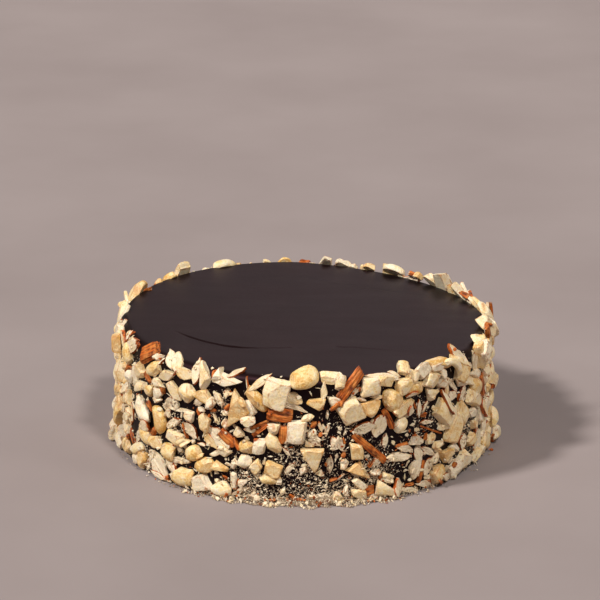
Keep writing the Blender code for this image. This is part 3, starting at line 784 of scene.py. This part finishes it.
def between(value, start, rise, end, fall):
    """1 between a start and an end, and 0 beyond them, with a rise and a fall inside them."""
    return np.clip((value - start) / rise, 0, 1) * np.clip((end - value) / fall, 0, 1)


def step_at(ahead, width):
    """0 behind a line and 1 ahead of it, over a width."""
    return 1.0 / (1.0 + np.exp(np.clip(-ahead / width, -40, 40)))


def crease_at(x, y):
    """How strong the crease is at a place, and how far in front of it that place is."""
    known, levels = np.array(CREASE_POINTS).T
    curve = np.polyfit(known / CREASE_SPAN, levels, 5)
    along = np.clip(x / MM, CREASE_STRONG[0], 62.0) / CREASE_SPAN
    ahead = np.polyval(curve, along) * MM - y
    steepness = np.polyval(np.polyder(curve), along) / CREASE_SPAN
    waver = 0.12 * MM * np.sin(x / (2.3 * MM)) * np.sin(x / (5.1 * MM))
    ahead = ahead / np.sqrt(1.0 + steepness**2) + waver
    return between(x / MM, *CREASE_STRONG), between(x / MM, *CREASE_FAINT), ahead


def spread_relief(x, y):
    """The finer unevenness that the spatula left on the top."""
    strong, faint, ahead = crease_at(x, y)
    drop, groove = (
        (deep * strong + shallow * faint) * MM for deep, shallow in (CREASE_DROPS, CREASE_GROOVES)
    )
    fading = np.exp(-np.maximum(ahead, 0.0) / (14.0 * MM))
    drop = drop * step_at(ahead, 0.20 * MM) * fading
    groove = groove * np.exp(-((ahead / (0.34 * MM)) ** 2))
    slope = 0.020 * np.maximum(ahead, 0.0)
    points = np.stack([x, y, np.zeros_like(x)], axis=-1).reshape(-1, 3)
    broad = ripple(points * np.array([0.5, 1.0, 1.0]), 0.045, 11).reshape(x.shape)
    return 0.05 * MM * broad - drop - groove - slope + lip_at(x, y)


def lip_at(x, y):
    """The faint step that the last stroke left towards the back."""
    line = 0.0655 - 0.38 * (x + 0.0025)
    return -LIP_DROP * MM * between(x / MM, *LIP) * step_at(y - line, 0.5 * MM)


def top_radii():
    radii = [0.0]
    while radii[-1] < BODY_RADIUS - EDGE_RADIUS - RING_STEP:
        fine = CREASE_BAND[0] <= radii[-1] < CREASE_BAND[1]
        radii.append(radii[-1] + (FINE_RING_STEP if fine else RING_STEP))
    return radii


def body_outline():
    """Radius and height down from the middle of the top, round the edge, to the base."""
    flat = BODY_RADIUS - EDGE_RADIUS
    outline = [(radius, BODY_HEIGHT) for radius in top_radii()]
    for step in range(EDGE_RINGS + 1):
        angle = math.radians(90.0 * (1 - step / EDGE_RINGS))
        across = flat + EDGE_RADIUS * math.cos(angle)
        outline.append((across, BODY_HEIGHT - EDGE_RADIUS * (1 - math.sin(angle))))
    drop = BODY_HEIGHT - EDGE_RADIUS - FOOT_CHAMFER
    for ring in range(1, SIDE_RINGS + 1):
        outline.append((BODY_RADIUS, FOOT_CHAMFER + drop * (1 - ring / SIDE_RINGS)))
    outline.append((BODY_RADIUS - FOOT_CHAMFER, 0.0))
    outline.append((0.0, 0.0))
    return outline


def ganache_mesh():
    """The body turned on Z, with the relief of its spread top and of its side."""
    outline = np.array(body_outline())
    turns = math.tau * np.arange(SPIN) / SPIN
    radius, height = outline[1:-1, 0][:, None], outline[1:-1, 1][:, None]
    x, y = radius * np.cos(turns), radius * np.sin(turns)
    z = height + 0 * x
    near_top = np.clip((z - BODY_HEIGHT + EDGE_RADIUS) / EDGE_RADIUS, 0.0, 1.0)
    z = z + near_top * (top_relief(x, y) + near_top * spread_relief(x, y))
    points = np.stack([x, y, z], axis=-1).reshape(-1, 3)
    side = ((z < BODY_HEIGHT - 0.2 * EDGE_RADIUS) & (z > 0.002)).reshape(-1)
    inward = 0.18 * MM * ripple(points, 0.012, 23) - 0.15 * MM
    points[side, :2] *= (1.0 + np.minimum(inward[side], 0.0) / BODY_RADIUS)[:, None]
    rings = len(outline) - 2
    top_z = BODY_HEIGHT + top_relief(0.0, 0.0) + float(spread_relief(np.zeros(1), np.zeros(1))[0])
    corner = np.arange(rings * SPIN).reshape(rings, SPIN)
    after = np.roll(corner, -1, axis=1)
    quads = np.stack([corner[:-1], corner[1:], after[1:], after[:-1]], axis=-1).reshape(-1, 4)
    top, base = rings * SPIN, rings * SPIN + 1
    lid = [(top, a, b) for a, b in zip(corner[0], after[0])]
    foot = [(base, b, a) for a, b in zip(corner[-1], after[-1])]
    points = np.concatenate([points, [(0.0, 0.0, top_z), (0.0, 0.0, 0.0)]])
    return smooth_mesh("ganache", points.tolist(), quads.tolist() + lid + foot)


# ---------------------------------------------------------------- chips and crumbs


def surface_of(forms):
    """The cake's surface so far, to cast rays at, and its first face of those that nothing lies on.

    Those are the faces of the last form: the almond shards.
    """
    points, faces, start = [], [], 0
    for some_points, some_faces in forms:
        points.append(some_points)
        faces.append(some_faces + start)
        start += len(some_points)
    joined = np.concatenate(faces)
    tree = BVHTree.FromPolygons(np.concatenate(points).tolist(), joined.tolist())
    return tree, len(joined) - len(faces[-1])


def triangles_of(mesh):
    mesh.calc_loop_triangles()
    points = np.empty(len(mesh.vertices) * 3, np.float32)
    mesh.vertices.foreach_get("co", points)
    faces = np.empty(len(mesh.loop_triangles) * 3, np.int32)
    mesh.loop_triangles.foreach_get("vertices", faces)
    return points.reshape(-1, 3).astype(float), faces.reshape(-1, 3)


def cast_inwards(surface, azimuth, height):
    """Where a ray from outside first meets the cake: place, normal, and how far out it is."""
    away = Vector(away_at(azimuth))
    tree, first_bare = surface
    place, normal, face, _ = tree.ray_cast(away * RAY_START + Vector((0, 0, height)), -away)
    if place is None or face >= first_bare or place.dot(away) < BODY_RADIUS - EDGE_RADIUS:
        return None
    if normal.dot(away) < 0:
        normal = -normal
    return np.array(place), unit(np.array(normal)), place.dot(away) - BODY_RADIUS


def places_met(surface, rng, count, drawn_height, chance):
    """Places and normals where rays from outside meet the cake, kept by their chance."""
    while count:
        azimuth, height = rng.uniform(-180, 180), drawn_height()
        found = cast_inwards(surface, azimuth, height)
        if found and rng.random() <= chance(found[2], azimuth, height):
            count -= 1
            yield found[:2]


def lying_frame(normal, turn, tilt, rng):
    """Directions along, across and out of a small thing that lies on a surface."""
    lean = np.array([rng.gauss(0, tilt) for _ in range(3)])
    out = unit(normal + lean)
    first = unit(np.cross(out, np.array([0.13, 0.21, 1.0])))
    along, _ = turned(first, np.cross(out, first), turn)
    return np.array([along, np.cross(out, along), out])


def chip_form(rng):
    """A thin broken flake about 1 across, with a jagged outline and a smaller upper face."""
    count = rng.choice((4, 5, 5, 6, 7))
    low, high = [], []
    for corner in range(count):
        turn = math.tau * (corner + rng.uniform(-0.35, 0.35)) / count
        out, up = rng.uniform(0.30, 0.50), rng.uniform(0.55, 0.98)
        low.append((out * math.cos(turn), out * math.sin(turn), rng.uniform(-0.5, -0.3)))
        high.append((up * out * math.cos(turn), up * out * math.sin(turn), rng.uniform(0.1, 0.5)))
    peak = (rng.uniform(-0.1, 0.1), rng.uniform(-0.1, 0.1), 0.5)
    points = np.array([*low, *high, (0.0, 0.0, -0.5), peak])
    faces = []
    for here in range(count):
        after = (here + 1) % count
        faces += [(here, after, count + after), (here, count + after, count + here)]
        faces += [(after, here, 2 * count), (count + here, count + after, 2 * count + 1)]
    breaks = np.ones((len(points), 2))
    breaks[:, 1] = np.repeat([0.75, 0.45, 0.0], [count, count, 2])
    return points, np.array(faces), breaks


def scatter_chips(heap, surface, rng, count, lengths, slender, skin):
    """Flakes in the gaps between the nuts, and a few on them."""
    forms = [chip_form(rng) for _ in range(CHIP_FORMS)]
    met = places_met(surface, rng, count, lambda: rng.uniform(*CHIP_HEIGHTS) * MM, chip_chance)
    for index, (place, normal) in enumerate(met):
        lay_chip(heap, rng.choice(forms), place, normal, rng, lengths, slender, skin, index)


def lay_chip(heap, form, place, normal, rng, lengths, slender, skin, index):
    points, faces, breaks = form
    length = rng.uniform(*lengths) * MM * rng.uniform(0.6, 1.0)
    thin = rng.random() < slender
    width = length * (rng.uniform(0.14, 0.28) if thin else rng.uniform(0.5, 0.9))
    thickness = min(rng.uniform(0.5, 1.1) * MM, 0.6 * width)
    points = points * np.array([length, width, thickness])
    frame_here = lying_frame(normal, rng.uniform(0, math.tau), 0.32, rng)
    world = raised(place + normal * 0.25 * thickness + points @ frame_here, 0.2 * MM)
    looks = np.tile([rng.uniform(0.35, 0.92), skin], (len(faces), 1))
    heap.add(world, faces, looks, breaks, points + 0.03 * index)


def chip_chance(out, _, height):
    """Chips keep to the gaps between the nuts, and to the lower two thirds."""
    if out > 2.0 * MM:
        return 0.10 if out < 3.0 * MM else 0.006
    return 0.9 if height < 0.7 * BODY_HEIGHT else 0.35


def bell(value, middle, width, power=2):
    return math.exp(-(((value - middle) / width) ** power))


def foot_share(azimuth):
    """How thick the fringe of crumbs round the foot is, from 0 to 1."""
    return bell(azimuth, -2.0, 34.0, 4) + 0.5 * bell(abs(azimuth), 180.0, 40.0, 4) + 0.02


def foot_place(rng):
    """A place in the fringe of crumbs, against the side or on the ground."""
    while True:
        azimuth = rng.uniform(-180, 180)
        if rng.random() < foot_share(azimuth):
            break
    away = away_at(azimuth)
    ragged = 0.95 + 0.45 * math.sin(0.83 * azimuth) * math.sin(0.31 * azimuth + 1.0)
    off = FOOT_REACH * ragged * rng.random() ** 1.5
    rise = FOOT_RISE * max(0.0, 1.0 - off / FOOT_REACH) * rng.random() ** 0.8
    return away * (BODY_RADIUS + off) + np.array([0, 0, rise]), unit(away + np.array([0, 0, 1.0]))


def scatter_foot_chips(heap, rng, count, lengths, skin):
    forms = [chip_form(rng) for _ in range(CHIP_FORMS)]
    for index in range(count):
        place, normal = foot_place(rng)
        form = rng.choice(forms)
        lay_chip(heap, form, place, normal, rng, lengths, SLENDER_FOOT_CHIPS, skin, index)


CRUMB_CORNERS = np.array(
    [(1, 0, 0), (-1, 0, 0), (0, 1, 0), (0, -1, 0), (0, 0, 1), (0, 0, -1)], float
)
CRUMB_FACES = np.array(
    [(0, 2, 4), (2, 1, 4), (1, 3, 4), (3, 0, 4), (2, 0, 5), (1, 2, 5), (3, 1, 5), (0, 3, 5)]
)
SPECK_CORNERS = np.array([(1, 1, 1), (1, -1, -1), (-1, 1, -1), (-1, -1, 1)], float)
SPECK_FACES = np.array([(0, 1, 2), (0, 3, 1), (0, 2, 3), (1, 3, 2)])


def random_turns(count, draws):
    """A rotation matrix for each of many small things, none of them favoured."""
    quaternions = draws.normal(size=(4, count))
    w, x, y, z = quaternions / np.sqrt((quaternions**2).sum(axis=0))
    rows = [
        [1 - 2 * (y * y + z * z), 2 * (x * y - z * w), 2 * (x * z + y * w)],
        [2 * (x * y + z * w), 1 - 2 * (x * x + z * z), 2 * (y * z - x * w)],
        [2 * (x * z - y * w), 2 * (y * z + x * w), 1 - 2 * (x * x + y * y)],
    ]
    return np.array(rows).transpose(2, 0, 1)


def add_crumbs(heap, places, normals, sizes, draws, corners, faces, skin):
    """Many crumbs at once: each its own jagged form, size and turn."""
    count, many = len(places), len(corners)
    forms = corners * draws.uniform(0.5, 1.0, (count, many, 1))
    forms = forms + draws.uniform(-0.25, 0.25, (count, many, 3))
    flattened = draws.uniform((0.9, 0.5, 0.25), (2.1, 1.0, 0.6), (count, 1, 3))
    forms *= 0.5 * sizes[:, None, None] * flattened
    world = forms @ random_turns(count, draws) + (places + 0.12 * sizes[:, None] * normals)[:, None]
    world[..., 2] += np.maximum(0.0, 0.1 * MM - world[..., 2].min(axis=1))[:, None]
    all_faces = (faces + many * np.arange(count)[:, None, None]).reshape(-1, 3)
    looks = np.stack([draws.random_sample(count), np.full(count, skin)], axis=1)
    looks = np.repeat(looks, len(faces), axis=0)
    local = (forms + 0.01 * draws.random_sample((count, 1, 1))).reshape(-1, 3)
    heap.add(world.reshape(-1, 3), all_faces, looks, np.zeros((count * many, 2)), local)


def crumb_chance(out, azimuth, height):
    """Crumbs keep to the ganache and the gaps in patches, thicker lower down and at the front."""
    level = height / BODY_HEIGHT
    waves = math.sin(azimuth * 0.31 + 4.0 * level) + math.sin(azimuth * 0.17 - 9.0 * level)
    patch = 0.5 + 0.25 * waves
    front = 0.30 + 0.70 * bell(azimuth, 10.0, 30.0)
    heap = bell(azimuth, 11.0, 8.0) * bell(height, 0.034, 0.009)
    low = bell(azimuth, 4.0, 23.0, 4) * bell(level, 0.10, 0.22)
    share = (1.0 - 0.85 * level) * front * patch**3 + 0.22 * heap + 0.34 * low
    if out < 1.5 * MM:
        return share
    return 0.12 * share if out < 2.4 * MM else 0.0


def crumb_places(surface, rng, count):
    met = places_met(surface, rng, count, lambda: BODY_HEIGHT * rng.random() ** 1.3, crumb_chance)
    places, normals = zip(*met)
    return np.array(places), np.array(normals)


def foot_places(rng, count):
    places, normals = zip(*(foot_place(rng) for _ in range(count)))
    return np.array(places), np.array(normals)


def scatter_crumbs(surface):
    """Crumbs and specks on the ganache and in the gaps, and the fringe of them at the foot."""
    rng, draws = random.Random(SEED + 11), np.random.RandomState(SEED)
    pale, brown, fine = Heap(), Heap(), Heap()
    for heap, on_side, at_foot, skin in (
        (pale, CRUMBS, FOOT_CRUMBS, FLESH), (brown, SKIN_CRUMBS, FOOT_SKIN_CRUMBS, SKIN)
    ):
        for places, normals in (crumb_places(surface, rng, on_side), foot_places(rng, at_foot)):
            sizes = (0.6 + 1.8 * draws.random_sample(len(places)) ** 2.6) * MM
            add_crumbs(heap, places, normals, sizes, draws, CRUMB_CORNERS, CRUMB_FACES, skin)
    for places, normals in (
        crumb_places(surface, rng, FINE_CRUMBS), foot_places(rng, FOOT_FINE_CRUMBS)
    ):
        sizes = (0.35 + 0.55 * draws.random_sample(len(places)) ** 2) * MM
        add_crumbs(fine, places, normals, sizes, draws, SPECK_CORNERS, SPECK_FACES, FLESH)
    return pale, brown, fine


# ---------------------------------------------------------------- materials


class Finish:
    """A node material under construction."""

    def __init__(self, name):
        self.material = bpy.data.materials.new(name)
        self.material.use_nodes = True
        self.tree = self.material.node_tree
        self.shader = self.tree.nodes["Principled BSDF"]

    def node(self, kind, settings=None, **inputs):
        """A node with its settings, and its inputs set or linked by name."""
        made = self.tree.nodes.new(kind)
        for name, value in (settings or {}).items():
            setattr(made, name, value)
        for name, value in inputs.items():
            key = int(name[1:]) if name[0] == "_" else name.replace("_", " ")
            self.put(made.inputs[key], value)
        return made

    def put(self, socket, value):
        if isinstance(value, bpy.types.NodeSocket):
            self.tree.links.new(value, socket)
        else:
            socket.default_value = value

    def read(self, name):
        node = self.node("ShaderNodeAttribute", {"attribute_name": name})
        return node.outputs["Vector" if name == "local" else "Fac"]

    def mixed(self, share, first, second, blend="MIX"):
        settings = {"data_type": "RGBA", "blend_type": blend}
        return self.node("ShaderNodeMix", settings, _0=share, _6=first, _7=second).outputs[2]

    def sum(self, operation, first, second):
        return self.node("ShaderNodeMath", {"operation": operation}, _0=first, _1=second).outputs[0]

    def span(self, value, low, high, start=0.0, end=1.0):
        """The value taken from low..high to start..end, and kept there."""
        return self.node(
            "ShaderNodeMapRange", None, Value=value, From_Min=low, From_Max=high,
            To_Min=start, To_Max=end,
        ).outputs[0]

    def shifted(self, value, noise, by):
        """The value raised or lowered by up to an amount, as a noise has it."""
        return self.sum("ADD", value, self.span(noise, 0.3, 0.7, -by, by))

    def ramp(self, value, *stops):
        """Colours along a value from 0 to 1: each stop is a place and its colour."""
        node = self.node("ShaderNodeValToRGB", None, Fac=value)
        points = node.color_ramp.elements
        while len(points) < len(stops):
            points.new(0.5)
        for point, (place, colour) in zip(points, stops):
            point.position, point.color = place, colour
        return node.outputs["Color"]

    def noise(self, vector, scale, detail=2.0, roughness=0.5):
        inputs = {"Scale": scale, "Detail": detail, "Roughness": roughness}
        return self.node("ShaderNodeTexNoise", None, Vector=vector, **inputs).outputs["Fac"]

    def streaks(self, vector, along, scale, detail=3.0, roughness=0.6):
        """Noise drawn out along the first axis."""
        drawn = self.node(
            "ShaderNodeVectorMath", {"operation": "MULTIPLY"}, _0=vector, _1=(along, 1.0, 1.0)
        )
        return self.noise(drawn.outputs[0], scale, detail, roughness)

    def bump(self, height, strength, distance, after=None):
        inputs = {"Strength": strength, "Distance": distance, "Height": height}
        if after is not None:
            inputs["Normal"] = after
        return self.node("ShaderNodeBump", None, **inputs).outputs["Normal"]

    def finished(self, colour, roughness, normal, **constants):
        self.put(self.shader.inputs["Base Color"], colour)
        self.put(self.shader.inputs["Roughness"], roughness)
        self.put(self.shader.inputs["Normal"], normal)
        for name, value in constants.items():
            self.shader.inputs[name.replace("_", " ")].default_value = value
        return self.material


def linear(red, green, blue):
    """A colour given as the photograph's values of 0 to 255."""
    shares = [value / 255.0 for value in (red, green, blue)]
    light = [s / 12.92 if s <= 0.04045 else ((s + 0.055) / 1.055) ** 2.4 for s in shares]
    return (*light, 1.0)


def nut_finish(name):
    """Nut flesh: golden to white by its tone, paler where it broke, and darker at its edges."""
    stops, inner, edge_tint, fibre, relief = NUT_FLESH[name]
    finish = Finish(name)
    where = finish.read("local")
    tone, skin, broken, edge = (finish.read(look) for look in ("tone", "skin", "broken", "edge"))
    broad = finish.noise(where, 170.0, 2.0, 0.5)
    mottle = finish.noise(where, 420.0, 4.0, 0.65)
    grain = finish.noise(where, 1000.0, 3.0, 0.65)
    speck = finish.noise(where, 1900.0, 3.0, 0.6)
    fibres = finish.streaks(where, 0.16, 1500.0)
    tone = finish.sum("ADD", tone, finish.span(broad, 0.32, 0.68, -0.20, 0.20))
    tone = finish.shifted(finish.shifted(tone, mottle, 0.16), grain, 0.16)
    colour = finish.ramp(tone, *stops)
    torn = finish.sum("MULTIPLY", broken, finish.span(mottle, 0.35, 0.6, 0.25, 0.75))
    colour = finish.mixed(torn, colour, finish.mixed(0.4, colour, inner))
    colour = finish.mixed(finish.span(fibres, 0.30, 0.46, 0.6 * fibre, 0.0), colour, edge_tint)
    patchy = finish.span(mottle, 0.38, 0.58, 0.0, 0.85)
    rim = finish.sum("MULTIPLY", finish.span(edge, 0.25, 1.0), patchy)
    colour = finish.mixed(rim, colour, edge_tint)
    pits = finish.span(speck, 0.48, 0.74, 0.0, 0.34 * relief)
    colour = finish.mixed(pits, colour, edge_tint, "MULTIPLY")
    streaks = finish.span(finish.streaks(where, 0.2, 1300.0), 0.36, 0.64)
    brown = finish.mixed(streaks, SKIN_DARK, SKIN_LIGHT)
    ragged_skin = finish.shifted(skin, mottle, 0.25)
    colour = finish.mixed(finish.span(ragged_skin, 0.45, 0.62), colour, brown)
    rough = finish.span(mottle, 0.3, 0.7, 0.34, 0.52)
    normal = finish.bump(finish.noise(where, 2400.0, 3.0, 0.6), 0.6, 0.0001)
    normal = finish.bump(grain, 0.75 * relief, 0.0004, normal)
    normal = finish.bump(mottle, 0.55 * relief, 0.0009, normal)
    normal = finish.bump(fibres, 0.9 * fibre, 0.0004, normal)
    return finish.finished(
        colour, rough, normal, Subsurface_Weight=0.16, Subsurface_Radius=(1.0, 0.60, 0.32),
        Subsurface_Scale=0.0012, Specular_IOR_Level=0.45,
    )


def skin_finish():
    """Almond skin: orange-brown and ridged along the nut."""
    finish = Finish("almond_skin")
    where = finish.read("local")
    skin = finish.read("skin")
    edge = finish.read("edge")
    ridges = finish.streaks(where, 0.14, 1000.0, 4.0, 0.62)
    patch = finish.noise(where, 300.0, 3.0)
    colour = finish.mixed(finish.span(ridges, 0.40, 0.60), SKIN_DARK, SKIN_LIGHT)
    colour = finish.mixed(finish.span(patch, 0.45, 0.70, 0.0, 0.65), colour, SKIN_PALE)
    colour = finish.mixed(finish.span(skin, 0.35, 0.65), ALMOND_INNER, colour)
    colour = finish.mixed(finish.span(edge, 0.3, 1.0, 0.0, 0.30), colour, SKIN_DARK)
    rough = finish.span(patch, 0.3, 0.7, 0.42, 0.60)
    normal = finish.bump(ridges, 1.0, 0.0006)
    return finish.finished(colour, rough, normal, Specular_IOR_Level=0.3)


def crumb_finish(name, dark, light):
    finish = Finish(name)
    where = finish.read("local")
    tone = finish.read("tone")
    speck = finish.noise(where, 1800.0, 2.0)
    colour = finish.mixed(finish.shifted(tone, speck, 0.2), dark, light)
    normal = finish.bump(speck, 0.4, 0.0001)
    return finish.finished(colour, 0.7, normal, Specular_IOR_Level=0.3)


def ganache_finish():
    """Set ganache: nearly black, satin, with the faint streaks of the spatula, and painted shade
    that makes its side darker than its top.
    """
    finish = Finish("ganache")
    where = finish.node("ShaderNodeNewGeometry").outputs["Position"]
    strokes = finish.streaks(where, 0.30, 90.0, 4.0, 0.60)
    broad = finish.noise(where, 30.0, 2.0)
    pores = finish.noise(where, 1500.0, 3.0, 0.6)
    colour = finish.mixed(finish.span(broad, 0.3, 0.7), linear(16, 8, 7), linear(22, 11, 10))
    height = finish.node("ShaderNodeSeparateXYZ", None, Vector=where).outputs["Z"]
    # Painted shade: below the rounded edge the side takes a darker colour than the top.
    above_painted_shade_side = finish.span(height, BODY_HEIGHT - EDGE_RADIUS, BODY_HEIGHT - 0.5 * EDGE_RADIUS)
    colour = finish.mixed(above_painted_shade_side, linear(9, 8, 8), colour)
    rough = finish.shifted(finish.span(strokes, 0.3, 0.7, 0.44, 0.48), pores, 0.03)
    normal = finish.bump(strokes, 0.06, 0.0006)
    normal = finish.bump(pores, 0.22, 0.0001, normal)
    tint = (1.0, 0.48, 0.58, 1.0)
    return finish.finished(colour, rough, normal, Specular_IOR_Level=0.18, Specular_Tint=tint)


SKIN_DARK = linear(92, 36, 8)
SKIN_LIGHT = linear(198, 98, 28)
SKIN_PALE = linear(228, 146, 70)
ALMOND_INNER = linear(234, 212, 184)
CASHEW_TONES = (
    (0.0, linear(214, 164, 86)), (0.18, linear(236, 202, 136)), (0.42, linear(241, 218, 170)),
    (0.70, linear(239, 225, 197)), (0.88, linear(234, 217, 186)), (1.0, linear(210, 190, 157)),
)
ALMOND_TONES = (
    (0.0, linear(210, 166, 98)), (0.25, linear(226, 196, 142)), (0.48, linear(231, 211, 172)),
    (0.72, linear(239, 223, 193)), (0.90, linear(224, 204, 170)), (1.0, linear(200, 178, 142)),
)
# Each flesh's tones, its colour where it broke and at its edges, and its fibres and relief
NUT_FLESH = {
    "cashew": (CASHEW_TONES, linear(235, 218, 189), linear(178, 110, 40), 0.25, 1.0),
    "almond": (ALMOND_TONES, linear(231, 210, 177), linear(166, 98, 42), 0.7, 0.45),
    "chip": (ALMOND_TONES, linear(226, 208, 176), linear(188, 150, 104), 0.6, 0.6),
}


# ---------------------------------------------------------------- stage


def floor():
    bpy.ops.mesh.primitive_plane_add(size=30.0, location=(0.0, 0.0, 0.0))
    ground = bpy.context.object
    ground.name = "floor"
    finish = Finish("pale_floor")
    where = finish.node("ShaderNodeNewGeometry").outputs["Position"]
    cloud = finish.noise(where, 6.0, 4.0)
    share = finish.span(cloud, 0.3, 0.7)
    colour = finish.mixed(share, linear(137, 125, 122), linear(146, 134, 131))
    normal = finish.bump(cloud, 0.02, 0.001)
    ground.data.materials.append(finish.finished(colour, 0.8, normal, Specular_IOR_Level=0.2))


LIGHTS = {  # where each comes from, its strength, softness and colour
    "key": ((-0.80, -0.50, 0.95), 3.32, 0.14, (1.0, 0.985, 0.965)),
    "front": ((0.36, -0.76, 1.10), 1.68, 0.14, (1.0, 0.98, 0.95)),
    "fill": ((0.95, -0.45, 0.70), 0.40, 0.25, (1.0, 0.95, 0.90)),
    "back": ((0.15, 0.85, 0.60), 0.30, 0.60, (1.0, 0.82, 0.85)),
}
BACKDROP = (0.13, (1.0, 0.985, 0.97, 1.0))  # its strength and colour


def studio_light():
    """Even light from a few directions, with shadows as soft as a large lamp's."""
    world = bpy.data.worlds.new("studio")
    world.use_nodes = True
    backdrop = world.node_tree.nodes["Background"]
    backdrop.inputs["Strength"].default_value, backdrop.inputs["Color"].default_value = BACKDROP
    bpy.context.scene.world = world
    for name, (place, strength, softness, colour) in LIGHTS.items():
        data = bpy.data.lights.new(name, "SUN")
        data.energy, data.angle, data.color = strength, softness, colour
        lamp = bpy.data.objects.new(name, data)
        lamp.location = place
        lamp.rotation_euler = Vector(place).to_track_quat("Z", "Y").to_euler()
        bpy.context.scene.collection.objects.link(lamp)


def camera():
    """The photograph's view, by its distance, elevation and roll about the point it looks at."""
    back = Vector((0.0, -math.cos(CAMERA_ELEVATION), math.sin(CAMERA_ELEVATION)))
    level = Vector((1.0, 0.0, 0.0))
    up = back.cross(level)
    right, above = turned(level, up, CAMERA_ROLL)
    data = bpy.data.cameras.new("camera")
    data.lens = CAMERA_LENS
    data.sensor_width = CAMERA_SENSOR
    eye = bpy.data.objects.new("camera", data)
    place = Matrix((right, above, back)).transposed().to_4x4()
    place.translation = Vector(CAMERA_TARGET) + back * CAMERA_DISTANCE
    eye.matrix_world = place
    bpy.context.scene.collection.objects.link(eye)
    bpy.context.scene.camera = eye


# ---------------------------------------------------------------- the cake


CASHEW_PIECES = {
    "chunk": "cashew_chunks", "block": "cashew_blocks", "wedge": "cashew_wedges",
    "dome": "cashew_halves", "hook": "cashew_bows",
}


def build_cake():
    body = ganache_mesh()
    belongs(body, ganache_finish())

    cashew, almond, skin = nut_finish("cashew"), nut_finish("almond"), skin_finish()
    heaps = heaps_of_nuts()
    for kind, name in CASHEW_PIECES.items():
        heaps[kind].piece(name, cashew, "nut")
    heaps["slice"].piece("almond_slices", almond, "nut")
    heaps["shard"].piece("almond_shards", skin, "almond_skin")

    nuts = [heap.form() for heap in heaps.values()]
    surface = surface_of([triangles_of(body), *nuts])
    rng = random.Random(SEED + 9)
    chips, skin_chips = Heap(), Heap()
    scatter_chips(chips, surface, rng, CHIPS, CHIP_LENGTHS, SLENDER_CHIPS, FLESH)
    scatter_chips(
        skin_chips, surface, rng, SKIN_CHIPS, SKIN_CHIP_LENGTHS, SLENDER_SKIN_CHIPS, SKIN
    )
    scatter_foot_chips(chips, rng, FOOT_CHIPS, FOOT_CHIP_LENGTHS, FLESH)
    scatter_foot_chips(skin_chips, rng, FOOT_SKIN_CHIPS, SKIN_CHIP_LENGTHS, SKIN)
    chips.piece("nut_chips", nut_finish("chip"), "nut")
    skin_chips.piece("skin_chips", skin, "almond_skin")

    surface = surface_of([triangles_of(body), chips.form(), skin_chips.form(), *nuts])
    pale, brown, fine = scatter_crumbs(surface)
    crumb = crumb_finish("crumb", linear(146, 114, 82), linear(236, 219, 190))
    pale.piece("pale_crumbs", crumb, "nut", 0.0)
    fine.piece("fine_crumbs", crumb, "nut", 0.0)
    skin_crumb = crumb_finish("skin_crumb", SKIN_DARK, SKIN_LIGHT)
    brown.piece("skin_crumbs", skin_crumb, "almond_skin", 0.0)


bpy.context.scene.view_settings.view_transform = "Standard"
camera()
floor()
studio_light()
build_cake()
